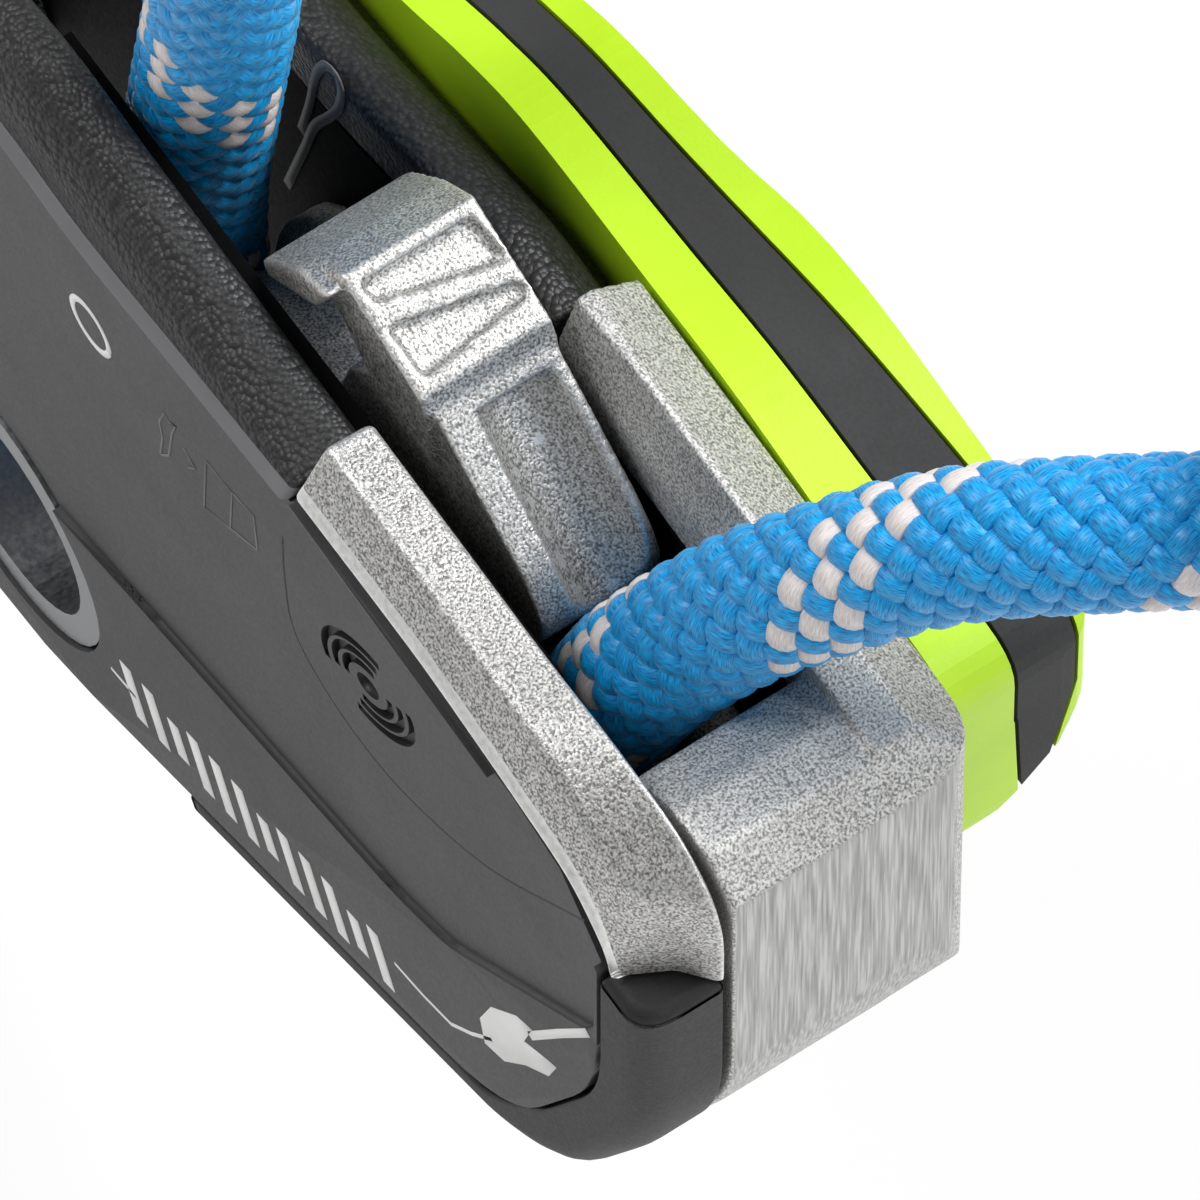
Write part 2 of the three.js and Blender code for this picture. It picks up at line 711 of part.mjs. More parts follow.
const anchorRoute = [
  [-11.4, 13.9, -58],
  [-18, 13.9, -56.6],
  [-25.6, 13.9, -52],
  [-31, 13.9, -44.5],
  [-33, 13.9, -35],
  [-32.8, 13.9, -24],
  [-31.2, 13.9, -10],
  [-29.6, 13.9, 2],
  [-28.3, 13.9, 12],
  [-27.8, 13.9, 22],
  [-27.6, 13.9, 36],
];
const brakeRoute = [
  [-8.6, 13.9, -58],
  [-2, 13.9, -56.6],
  [5.6, 13.9, -51.8],
  [11, 13.9, -44.5],
  [13.2, 13.9, -35],
  [14.6, 13.9, -26],
  [17.6, 13.9, -16.5],
  [20.9, 13.9, -6.2],
  [24, 16.2, 2.5],
  [27.1, 18.8, 9.6],
  [30.6, 22.2, 15.7],
  [33.8, 25.7, 20.5],
  [37.5, 29.5, 24.7],
  [41.3, 33.3, 27.7],
  [45.3, 37.7, 30.2],
  [49.6, 42.8, 32.1],
];
// A round rope along its route
const ropeStepsPerPoint = 1.6;
function rope(route, width, sides = 9) {
  const points = route.map((point) => new THREE.Vector3(...point));
  const curve = new THREE.CatmullRomCurve3(points, false, "centripetal");
  const section = new THREE.Shape();
  section.absarc(0, 0, width / 2, 0, Math.PI * 2, false);
  const steps = Math.round(route.length * ropeStepsPerPoint);
  const settings = { steps, bevelEnabled: false, extrudePath: curve, curveSegments: sides };
  return solid(new THREE.ExtrudeGeometry(section, settings));
}

// Brake block: side profiles of the saddle and of the rail that is cast in one with it
const blockClear = 0.7;
const blockIn = frontPlateIn + blockClear;
const blockTop = 4.4;
const endCrease = 1.4;
const endSlope = 3.3;
const saddle = { length: 11.5, dip: 2.9, run: 4.3, below: 0.8, edge: 0.3 };
const saddleBackX = endX - saddle.length;
const ropeWall = { back: 17.7, z: -18, foot: -25 };
const ropeWallX = endX - ropeWall.back;
const tunnelRadius = wrapRadius + ropeWidth / 2 + 2 * gap;
const blockTailX = -2;
const blockCorners = inset(backCorners, [-beyond, -beyond, -beyond, ...lowerInset(0, 0)]);
const saddleProfile = outline([
  { x: saddleBackX, z: blockTop - saddle.dip },
  { x: saddleBackX + saddle.run, z: blockTop - saddle.below },
  { x: endX - endSlope, z: blockTop - saddle.edge },
  { x: endX, z: endCrease },
  { x: endX + overrun, z: endCrease },
  { x: endX + overrun, z: spineAt(endX) },
  { x: blockTailX, z: spineAt(blockTailX) - overrun },
  { x: blockTailX, z: ropeWall.foot },
  { x: ropeWallX, z: ropeWall.z },
]);
const railRoot = -6;
const sideFoot = { end: -33.8, inner: -31 };
const sideOverlap = 0.7;
// The back rail's top line, in shares of the reach and of the block's top
const railShares = [
  [0, 0.95],
  [0.24, 1.18],
  [0.5, 1.12],
];
const sideProfile = outline([
  { x: 0, z: railRoot },
  ...railShares.map(([x, z]) => ({ x: x * endX, z: z * blockTop })),
  { x: saddleBackX, z: blockTop },
  { x: endX - endSlope, z: blockTop },
  { x: endX, z: endCrease },
  { x: endX, z: sideFoot.end },
  { x: endX - blockWall, z: sideFoot.inner },
  { x: endX - blockWall, z: railRoot },
]);
const blockRound = 5.5;
const blockPlan = throughZ(
  outline([
    { x: blockTailX - overrun, z: blockIn },
    { x: endX, z: blockIn },
    { x: endX, z: coverFace, round: blockRound },
    { x: blockTailX - overrun, z: coverFace },
  ]),
  -beyond,
  beyond,
);

// Facets of the back rail: steep on the rope side, gentle on the handle side
const backBevel = 1.8;
const backCrease = backPlateIn + backBevel;
const railEdge = { outer: 1.1, inner: -0.55 };
const creaseTopShare = 1.14;
const outerFacet = throughX(
  outline([
    { x: backCrease, z: blockTop * creaseTopShare },
    { x: coverFace + gap, z: railEdge.outer },
    { x: beyond, z: railEdge.outer },
    { x: beyond, z: beyond },
    { x: backCrease, z: beyond },
  ]),
  -overrun,
  endX + overrun,
);
const facetEndX = saddleBackX - saddle.edge;
const innerFacet = throughX(
  outline([
    { x: backPlateIn - overrun, z: railEdge.inner },
    { x: backPlateIn, z: railEdge.inner },
    { x: backCrease, z: blockTop * creaseTopShare },
    { x: backCrease, z: beyond },
    { x: backPlateIn - overrun, z: beyond },
  ]),
  -overrun,
  facetEndX,
);
const railRearCut = throughX(square, -beyond, facetEndX).intersect(
  throughY(square, backPlateIn - overrun, backPlateIn),
);
const sideBar = throughY(sideProfile, backPlateIn - sideOverlap, coverFace).subtract(railRearCut);
const brakeBody = throughY(saddleProfile, blockIn, backPlateIn)
  .subtract(pin(axle, tunnelRadius, -overrun, handleOut, 48))
  .subtract(rope(brakeRoute, ropeWidth + 4 * gap))
  .subtract(pin(axle, lipSweep + gap, -overrun, lipIn + gap, 64))
  .subtract(throughY(backPlateOutline, backPlateIn - gap, handleOut));
let brakeBlock = brakeBody
  .add(sideBar)
  .intersect(throughY(outline(blockCorners), -overrun, handleOut))
  .intersect(blockPlan)
  .subtract(outerFacet)
  .subtract(innerFacet)
  .subtract(throughY(backPlateOutline, backPlateIn - gap, handleOut));
for (const place of blockScrews)
  brakeBlock = brakeBlock.subtract(screwHole(bigScrew, place, backPlateOut, true));
add("brake_block", brakeBlock, castSteel);
blockScrews.forEach((place, i) => {
  add(`block_screw_${i + 1}`, screw(bigScrew, place, backPlateOut), brightSteel);
});

// Cover over the handle's mechanism: a shell with a cavity for the tail lever and the release cam
const coverCorners = backInset(backTop, blockWall + gap, spineLip);
const cavityCorners = inset(coverCorners, coverCorners.map(() => coverSkin));
const bossRadius = 3.4;
const shaftRadius = 5;
let backCover = throughY(backPlateOutline, coverIn, coverFace).subtract(
  throughY(outline(cavityCorners), coverIn - overrun, coverFace - coverSkin),
);
for (const place of coverScrews) backCover = backCover.add(pin(place, bossRadius, coverIn, coverFace, 20));
backCover = backCover
  .add(pin(eye, eyeRadius + eyeWall + 2 * coverSkin, coverIn, coverFace, 36))
  .subtract(eyeHole)
  .subtract(pin(hub, shaftRadius + gap, 0, handleOut));
for (const place of coverScrews)
  backCover = backCover.subtract(screwHole(coverScrew, place, coverFace, false));
add("back_cover", backCover, darkPanel);
coverScrews.forEach((place, i) => {
  add(`cover_screw_${i + 1}`, screw(coverScrew, place, coverFace), brightSteel);
});

// Axle, nut and catch post are fixed to the back plate
const axleEnd = coverFace - coverSkin - gap;
const mainAxle = turned(
  [
    [0, nutOut],
    [axleTip, nutOut],
    [axleTip, frontPlateOut - gap],
    [axleRadius, frontPlateOut - gap],
    [axleRadius, axleEnd],
    [0, axleEnd],
  ],
  axle,
);
add("main_axle", mainAxle, brightSteel);
const nut = pin(axle, nutRadius, nutOut, nutOut + nutThick, 6).subtract(
  pin(axle, axleTip + gap, nutOut - overrun, frontPlateOut, 20),
);
add("axle_nut", nut, brightSteel);
const postShoulder = 1.9;
const catchPost = turned(
  [
    [0, panelFace + gap],
    [postRadius, panelFace + gap],
    [postRadius, frontPlateIn + gap],
    [postRadius + postShoulder, frontPlateIn + gap],
    [postRadius + postShoulder, backPlateIn - gap],
    [postRadius, backPlateIn - gap],
    [postRadius, backPlateOut],
    [0, backPlateOut],
  ],
  post,
);
add("catch_post", catchPost, brightSteel);

// Brake cam: grooved sheave, arm with a braking nose, and a thumb pad with a rear wing

const camOut = frontPlateIn + 2 * gap;
const camIn = backPlateIn - gap;
const camMiddle = (camOut + camIn) / 2;
const grooveRadius = ropeWidth / 2 + gap;
const flangeDepth = 3.4;
const flangeRadius = wrapRadius - flangeDepth;
const sheaveProfile = [
  [0, camOut],
  [flangeRadius, camOut],
];
const grooveEdge = Math.acos(flangeDepth / grooveRadius);
const grooveSteps = 6;
for (let i = 0; i <= grooveSteps; i++) {
  const turn = inX(-grooveEdge, grooveEdge)(i / grooveSteps);
  sheaveProfile.push([wrapRadius - grooveRadius * Math.cos(turn), camMiddle + grooveRadius * Math.sin(turn)]);
}
sheaveProfile.push([flangeRadius, camIn], [0, camIn]);
const sheave = turned(sheaveProfile, axle, 36);

// The pad and the neck stand in from the sheave's faces
const padInset = { out: 2.8, in: 0.4 };
const neckInset = { out: 3.4, in: 0.7 };
const padY = { out: camOut + padInset.out, in: camIn - padInset.in };
const neckY = { out: camOut + neckInset.out, in: camIn - neckInset.in };
// Side profile of the arm, in its own sizes from the rear of the pad round to the hollow under the wing
const padRear = { x: -8.6, z: 7.5 };
const padFront = { x: 0.5, z: 4.6 };
const padStep = { x: 1.3, z: 3.2 };
const padRoot = { x: 2, z: -3 };
const noseTop = { x: 12.2, z: -4.2, round: 2 };
const noseTip = { x: 14, z: -7.4, round: 1 };
const noseFoot = { x: 14, z: -10.2, round: 1 };
const noseUnder = { x: 12.2, z: -13.4, round: 2 };
const armFront = { x: 4, z: -20 };
const armRear = { x: -12, z: -20 };
const armWaist = { x: -9, z: -8 };
const hollowTop = { x: -5.5, z: -2.4 };
const neckRoot = { x: -3, z: 3 };
const wingRoot = { x: -9.8, z: 2.2 };
const wingUnder = { x: -15.4, z: -2.9, round: 0.5 };
const wingTip = { x: -16.4, z: -1.9, round: 0.5 };
const wingBend = { x: -11.8, z: 4.6 };
const wingTop = { x: -8, z: 6.8 };
const padProfile = [padRear, padFront, padStep, padRoot, hollowTop, wingRoot, wingBend];
const neckProfile = [
  padStep,
  noseTop,
  noseTip,
  noseFoot,
  noseUnder,
  armFront,
  armRear,
  armWaist,
  hollowTop,
  neckRoot,
];
const wingProfile = [{ ...wingBend, round: wingTip.round }, wingTop, wingRoot, wingUnder, wingTip];
let brakeCam = sheave
  .add(throughY(outline(neckProfile), neckY.out, neckY.in))
  .add(throughY(outline(padProfile), padY.out, padY.in))
  .add(throughY(outline(wingProfile), lipIn + 2 * gap, padY.in));

// The groove down the middle of the neck, cut by a round bar that lies along it
const neckAlong = new THREE.Vector3(noseTip.x - padStep.x, 0, noseTip.z - padStep.z).normalize();
const neckUp = new THREE.Vector3(-neckAlong.z, 0, neckAlong.x);
const neckGroove = { radius: 3.2, depth: 2, length: 30, start: 1.5, shift: 0.8 };
const bar = new THREE.CylinderGeometry(neckGroove.radius, neckGroove.radius, neckGroove.length, 24);
bar.applyMatrix4(new THREE.Matrix4().makeBasis(new THREE.Vector3(0, 1, 0), neckAlong, neckUp));
const barPlace = new THREE.Vector3(padStep.x, (neckY.out + neckY.in) / 2 + neckGroove.shift, padStep.z)
  .addScaledVector(neckAlong, neckGroove.start + neckGroove.length / 2)
  .addScaledVector(neckUp, neckGroove.radius - neckGroove.depth);
bar.translate(barPlace.x, barPlace.y, barPlace.z);
brakeCam = brakeCam.subtract(solid(bar));

// Two tapered pockets in the pad, sunk square to its face
const padAlong = new THREE.Vector3(padFront.x - padRear.x, 0, padFront.z - padRear.z);
const padLength = padAlong.length();
const padWidth = padY.in - padY.out;
padAlong.normalize();
const padUp = new THREE.Vector3(-padAlong.z, 0, padAlong.x);
const pocketDepth = 0.8;
const pocketRound = 0.5;
// Corners as shares of the pad's length and width
const pocketShares = [
  [[0.1, 0.08], [0.1, 0.92], [0.5, 0.98], [0.28, 0.1]],
  [[0.46, 0.08], [0.66, 0.97], [0.78, 0.97], [0.9, 0.1]],
];
const padTurn = new THREE.Matrix4().makeBasis(padAlong, new THREE.Vector3(0, 1, 0), padUp.clone().negate());
const pocketStart = new THREE.Vector3(padRear.x, padY.out, padRear.z).addScaledVector(padUp, overrun);
for (const corners of pocketShares) {
  const shape = outline(corners.map(([x, y]) => ({ x: x * padLength, z: y * padWidth, round: pocketRound })));
  const settings = { depth: overrun + pocketDepth, bevelEnabled: false, curveSegments: 3 };
  const pocket = new THREE.ExtrudeGeometry(shape, settings);
  pocket.applyMatrix4(padTurn);
  pocket.translate(pocketStart.x, pocketStart.y, pocketStart.z);
  brakeCam = brakeCam.subtract(solid(pocket));
}

// Bore for the bush, and a ring pocket for the return spring on the side of the front plate
const bushWall = 1.4;
const bushRadius = axleRadius + gap + bushWall;
const springRadius = 9;
const springWire = 1.4;
const springTurns = 3;
const springPitch = 2;
const springDeep = springTurns * springPitch + springWire + gap;
const springPocket = turned(
  [
    [springRadius - springWire, camOut - overrun],
    [springRadius + springWire, camOut - overrun],
    [springRadius + springWire, camOut + springDeep],
    [springRadius - springWire, camOut + springDeep],
    [springRadius - springWire, camOut - overrun],
  ],
  axle,
  32,
);
brakeCam = brakeCam
  .subtract(springPocket)
  .subtract(pin(axle, bushRadius + gap, 0, handleOut))
  .add(pin(atCamPin(0), camPin.radius, camIn - overrun, coverFace - coverSkin - 2 * gap, 20));
add("brake_cam", brakeCam, castSteel);
const bush = turned(
  [
    [axleRadius + gap, camOut],
    [bushRadius, camOut],
    [bushRadius, camIn],
    [axleRadius + gap, camIn],
    [axleRadius + gap, camOut],
  ],
  axle,
  32,
);
add("cam_bush", bush, bronze);

// A wound wire: a helix about an axis along Y, as one unbroken tube with flat ends
function wound(place, radius, wire, turns, pitch, from) {
  const sides = 5;
  const stepsPerTurn = 8;
  const steps = turns * stepsPerTurn;
  const places = [];
  const faces = [];
  for (let i = 0; i <= steps; i++) {
    const turn = (i / stepsPerTurn) * Math.PI * 2;
    const y = from + wire / 2 + (i / stepsPerTurn) * pitch;
    for (let k = 0; k < sides; k++) {
      const round = (k / sides) * Math.PI * 2;
      const run = radius + (wire / 2) * Math.cos(round);
      const rise = (wire / 2) * Math.sin(round);
      places.push(place.x + run * Math.cos(turn), y + rise, place.z + run * Math.sin(turn));
    }
  }
  for (let i = 0; i < steps; i++)
    for (let k = 0; k < sides; k++) {
      const a = i * sides + k;
      const b = i * sides + ((k + 1) % sides);
      faces.push(a, b, a + sides, b, b + sides, a + sides);
    }
  const last = steps * sides;
  for (let k = 1; k < sides - 1; k++) faces.push(0, k + 1, k, last, last + k, last + k + 1);
  const geometry = new THREE.BufferGeometry();
  geometry.setAttribute("position", new THREE.Float32BufferAttribute(places, 3));
  geometry.setIndex(faces);
  console.log("least gap between the spring's turns, mm:", (pitch - wire).toFixed(2));
  return solid(geometry);
}
add("cam_spring", wound(axle, springRadius, springWire, springTurns, springPitch, camOut + gap), brightSteel);

// Release train behind the back plate: an involute cam on the handle's shaft pushes the tail lever

const trainOut = backPlateOut + 2 * gap;
const trainIn = coverFace - coverSkin - gap;
const baseReach = 10;
const releaseBack = 6.6;
const leverGap = 0.35;
const leverTop = hub.z - baseReach - leverGap;
// How far the lever's flat top moves from the hub, and so the cam's rise for each radian of its turn
const leverTurn = camTravel;
const leverDrop = (axle.x - hub.x) * Math.sin(leverTurn) - (hub.z - axle.z) * (1 - Math.cos(leverTurn));
const riseRate = leverDrop / (handleTravel + leverTurn);
const releaseShape = new THREE.Shape();
const involuteSlack = 8 * degree;
const involuteTurn = handleTravel + involuteSlack;
const involuteSteps = 10;
const releaseTurn = 250 * degree;
for (let i = 0; i <= involuteSteps; i++) {
  const turn = (i / involuteSteps) * involuteTurn;
  const reach = baseReach + riseRate * turn;
  const x = hub.x + reach * Math.sin(turn) + riseRate * Math.cos(turn);
  const z = hub.z - reach * Math.cos(turn) + riseRate * Math.sin(turn);
  if (i) releaseShape.lineTo(x, z);
  else releaseShape.moveTo(x, z);
}
releaseShape.absarc(hub.x, hub.z, releaseBack, 0, releaseTurn, false);
releaseShape.closePath();
const keyShare = 0.7;
const keyRadius = shaftRadius * keyShare;
const releaseBore = pin(hub, keyRadius + gap, trainOut - overrun, trainIn + overrun);
add("release_cam", throughY(releaseShape, trainOut, trainIn).subtract(releaseBore), brightSteel);

const leverTip = { past: 3, flat: 19, thick: 6, round: 2 };
const leverHub = { reach: 7, round: 4 };
const leverTipX = hub.x - leverTip.past;
// Corners round the axle in shares of the lever hub's reach, and under the tip in shares of its thickness
const leverHubShares = [
  [-1.15, 1],
  [0.85, 1],
  [1, -1],
  [-2.4, -1.3],
];
const leverTipShares = [
  [1.33, -1],
  [0, -0.83],
];
const tailLever = throughY(
  outline([
    { x: leverTipX, z: leverTop, round: leverTip.round },
    { x: leverTipX + leverTip.flat, z: leverTop, round: leverTip.round },
    ...leverHubShares.map(([x, z]) => ({
      x: axle.x + x * leverHub.reach,
      z: axle.z + z * leverHub.reach,
      round: leverHub.round,
    })),
    ...leverTipShares.map(([x, z]) => ({
      x: leverTipX + x * leverTip.thick,
      z: leverTop + z * leverTip.thick,
      round: leverTip.round,
    })),
  ]),
  trainOut,
  trainIn,
)
  .subtract(pin(axle, axleRadius + gap, 0, handleOut))
  .subtract(pin(atCamPin(0), camPin.radius + gap, 0, handleOut, 20));
add("tail_lever", tailLever, brightSteel);

// Handle: a lime grip with a dark inlay let into its top, on a shaft through the cover

const handleTip = 36;
const handleFoot = -26.5;
const hubReach = 15;
const hubArc = { from: 90 * degree, to: 262 * degree };
const hubBlendShares = { near: 1.2, down: 0.45, far: 2.4 };
const handleTipRound = 4.5;
// The top edge as seen from the side, tip first, as shares of the tip's reach and of the foot's depth
const topShares = [
  [0.95, 0.02], [0.6, -0.01], [0.28, -0.05], [0, -0.03], [-0.38, 0],
  [-0.6, 0.1], [-0.86, 0.28], [-1.25, 0.43], [-1.5, 0.485],
];
const topPoints = topShares.map(([x, z]) => new THREE.Vector2(x * handleTip, z * handleFoot));
function handleSide(shrink) {
  const shape = new THREE.Shape();
  const tip = handleTip - shrink;
  const foot = handleFoot + shrink;
  const tipTop = tip - handleTipRound;
  const top = topPoints.map((point) => new THREE.Vector2(Math.min(point.x, tipTop), point.y - shrink));
  const near = hub.x + hubReach * hubBlendShares.near;
  const down = foot - hubReach * hubBlendShares.down;
  const far = hub.x + hubReach * hubBlendShares.far;
  shape.moveTo(top[0].x, top[0].y);
  shape.splineThru(top.slice(1));
  shape.absarc(hub.x, hub.z, hubReach - shrink, hubArc.from, hubArc.to, false);
  shape.quadraticCurveTo(near, down, far, foot);
  shape.lineTo(tipTop, foot);
  shape.quadraticCurveTo(tip, foot, tip, foot + handleTipRound);
  shape.lineTo(tip, top[0].y - handleTipRound);
  shape.quadraticCurveTo(tip, top[0].y, top[0].x, top[0].y);
  return shape;
}
const handleBlank = throughY(handleSide(0), handleIn, handleOut);
// Plans of the bulged outer face and of the inlay's two borders: shares of the tip's reach and grip's width
const bulgeShares = [
  [-2.2, 0.52], [-1.2, 0.66], [-0.26, 0.81], [0.11, 0.965],
  [0.6, 1], [0.9, 1], [0.985, 0.93], [1, 0.75],
];
const inlayOutShares = [
  [-1.22, 0.5], [-0.85, 0.53], [-0.32, 0.58], [0.11, 0.7],
  [0.64, 0.845], [0.85, 0.86], [1.05, 0.84],
];
const inlayInShares = [
  [1.05, 0.46], [0.85, 0.43], [0.58, 0.385],
  [-0.35, 0.303], [-0.85, 0.29], [-1.22, 0.33],
];
const planPoint = ([x, y]) => new THREE.Vector2(x * handleTip, handleIn + y * gripWidth);
const bulgePoints = bulgeShares.map(planPoint);
const bulge = new THREE.Shape();
bulge.moveTo(bulgePoints[0].x, handleIn - overrun);
bulge.lineTo(bulgePoints[0].x, bulgePoints[0].y);
bulge.splineThru(bulgePoints.slice(1));
bulge.lineTo(handleTip, handleIn - overrun);
bulge.closePath();
// Towards the tip the lower outer corner slants away: stations along the handle, as shares of the tip's
// reach, and the corner's points at the last of them, as shares of the grip's width and of the foot's depth
const slantShares = [-0.8, 0.3, 0.7, 1.1];
const slantGrowShares = [0, 0.55, 0.9, 1];
const slantCornerShares = [
  [1.02, 0.2], [0.93, 0.45], [0.735, 0.68], [0.39, 0.85], [0.05, 1],
];
const slantOutside = { y: 1.1, z: 1.1 };
const slantPoint = (y, z, i) => {
  const grow = slantGrowShares[i];
  return [
    slantShares[i] * handleTip,
    handleIn + inX(slantOutside.y, y)(grow) * gripWidth,
    inX(slantOutside.z, z)(grow) * handleFoot,
  ];
};
const slantLines = [
  ...slantCornerShares,
  [-slantOutside.y, slantOutside.z],
  [slantOutside.y, slantOutside.z],
];
const slantCut = loft(
  slantLines.map(([y, z]) => slantShares.map((_, i) => slantPoint(y, z, i))),
  12,
);
const gripBody = handleBlank.intersect(throughZ(bulge, -beyond, beyond, 4)).subtract(slantCut);
// Down the tip the inlay narrows to a point: shares of the grip's width and of the foot's depth
const taperShares = [
  [0, -0.34], [1, -0.34], [1, 0.12], [0.84, 0.4],
  [0.62, 0.85], [0.5, 0.85], [0.46, 0.4], [0, 0.12],
];
const taperCorners = taperShares.map(([y, z]) => ({ x: handleIn + y * gripWidth, z: z * handleFoot }));
const inlayHeadShare = 0.7;
const inlaySideShare = 0.75;
const headX = handleTip * inlayHeadShare;
// The space that the inlay takes, grown by a clearance
function inlayZone(grow) {
  const out = inlayOutShares.map(planPoint).map((point) => point.setY(point.y + grow));
  const inner = inlayInShares.map(planPoint).map((point) => point.setY(point.y - grow));
  out[0].x -= grow;
  inner.at(-1).x -= grow;
  const plan = new THREE.Shape();
  plan.moveTo(out[0].x, out[0].y);
  plan.splineThru(out.slice(1));
  plan.lineTo(inner[0].x, inner[0].y);
  plan.splineThru(inner.slice(1));
  plan.closePath();
  const taper = outline(inset(taperCorners, taperCorners.map(() => -grow)));
  const head = throughX(taper, headX - overrun, beyond);
  const side = throughZ(plan, handleFoot * inlaySideShare - grow, beyond, 4);
  const top = throughX(square, -beyond, headX).intersect(side);
  return top.add(head.intersect(throughZ(plan, -beyond, beyond, 4)));
}
const inlayDepth = 2.4;
const innerGrip = throughY(handleSide(inlayDepth), handleIn - overrun, handleOut + overrun);
add("handle_inlay", gripBody.intersect(inlayZone(0)).subtract(innerGrip), inlayGrey);

const socketDepth = 3;
const socketWeb = 1.2;
const hubScrew = { shank: 2, head: 4, depth: 2 };
const shaftTop = handleIn + socketDepth;
const hubFace = shaftTop + gap + socketWeb;
const inlaySeat = throughY(handleSide(inlayDepth + gap), handleIn - 2 * overrun, handleOut + 2 * overrun);
const inlayPocket = throughY(handleSide(-overrun), handleIn - overrun, handleOut + overrun)
  .subtract(inlaySeat)
  .intersect(inlayZone(gap));
const handleShell = gripBody
  .subtract(inlayPocket)
  .subtract(pin(hub, shaftRadius + gap, handleIn - overrun, shaftTop + gap))
  .subtract(pin(hub, hubScrew.shank + gap, handleIn, handleOut + overrun, 16))
  .subtract(pin(hub, hubScrew.head + gap, hubFace - gap, handleOut + overrun, 24));
add("handle_shell", handleShell, lime);

// The shaft carries the handle outside the cover and the release cam inside it
const handleShaft = turned(
  [
    [0, trainOut],
    [keyRadius, trainOut],
    [keyRadius, trainIn],
    [shaftRadius, trainIn + gap],
    [shaftRadius, shaftTop],
    [hubScrew.shank + gap, shaftTop],
    [hubScrew.shank + gap, handleIn],
    [0, handleIn],
  ],
  hub,
);
add("handle_shaft", handleShaft, brightSteel);
const handleScrew = turned(
  [
    [0, handleIn + gap],
    [hubScrew.shank, handleIn + gap],
    [hubScrew.shank, hubFace],
    [hubScrew.head, hubFace],
    [hubScrew.head, hubFace + hubScrew.depth],
    [0, hubFace + hubScrew.depth],
  ],
  hub,
  20,
);
add("handle_screw", handleScrew, brightSteel);

// Rope strands, through the device from the anchor side round the sheave to the brake side

const strandWidth = ropeWidth - gap;
add("anchor_strand", rope(anchorRoute, strandWidth), ropeBlue);
add("brake_strand", rope(brakeRoute, strandWidth), ropeBlue);

// Sewn eye above the anchor strand: a shrunk sleeve over the stitched legs, and the loop
const sleeveLength = 36;
const sleeveGrow = 1.2;
const legSpread = ropeWidth / 2 + gap;
const [anchorX, anchorY, anchorZ] = anchorRoute.at(-1);
const sleeveFrom = anchorZ + gap;
const sleeveTo = sleeveFrom + sleeveLength;
const sleeveOutline = new THREE.Shape();
const sleeveRound = ropeWidth / 2 + sleeveGrow;
sleeveOutline.absarc(anchorX, anchorY, sleeveRound, -90 * degree, 90 * degree, false);
sleeveOutline.absarc(anchorX - 2 * legSpread, anchorY, sleeveRound, 90 * degree, 270 * degree, false);
sleeveOutline.closePath();
add("eye_sleeve", throughZ(sleeveOutline, sleeveFrom, sleeveTo, 8), sleeveBlack);
const loopHeight = 38;
const loopHalf = 13;
// The loop as shares of its half width and height
const loopShares = [
  [-0.43, 0], [-0.43, 0.12], [-0.85, 0.42], [-1, 0.66], [-0.72, 0.91], [0, 1],
  [0.72, 0.91], [1, 0.66], [0.85, 0.42], [0.43, 0.12], [0.43, 0],
];
const loopRoute = loopShares.map(([x, z]) => [
  anchorX - legSpread + x * loopHalf,
  anchorY,
  sleeveTo + gap + z * loopHeight,
]);
add("eye_loop", rope(loopRoute, strandWidth), ropeBlue);

// Stopper knot at the end of the brake strand and in line with it, as a plain rounded solid
const knotRadius = 16;
const knotHeight = 34;
const strandEnd = new THREE.Vector3(...brakeRoute.at(-1));
const knotAlong = strandEnd.clone().sub(new THREE.Vector3(...brakeRoute.at(-2))).normalize();
const knotSteps = 8;
const knotProfile = [];
for (let i = 0; i <= knotSteps; i++) {
  const turn = inX(-90, 90)(i / knotSteps) * degree;
  const radius = i === 0 || i === knotSteps ? 0 : knotRadius * Math.cos(turn);
  knotProfile.push(new THREE.Vector2(radius, (knotHeight / 2) * Math.sin(turn)));
}
const knot = new THREE.LatheGeometry(knotProfile, 16);
knot.applyQuaternion(new THREE.Quaternion().setFromUnitVectors(new THREE.Vector3(0, 1, 0), knotAlong));
const knotPlace = strandEnd.addScaledVector(knotAlong, knotHeight / 2 + gap);
knot.translate(knotPlace.x, knotPlace.y, knotPlace.z);
add("stopper_knot", solid(knot), ropeBlue);

// The frame's origin is the middle of the carabiner eye
group.position.set(-eye.x, -(frontPlateIn + backPlateIn) / 2, -eye.z);
const part = new THREE.Group();
part.add(group);

export default part;
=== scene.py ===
# A self-braking rope descender with its rope threaded through it, seen close up at its brake end.
# Places are in the millimetres that its solids are drawn in: X along the body towards the brake end, Y from
# the opening side plate towards the handle, and Z up to the open edge at zero.
import math

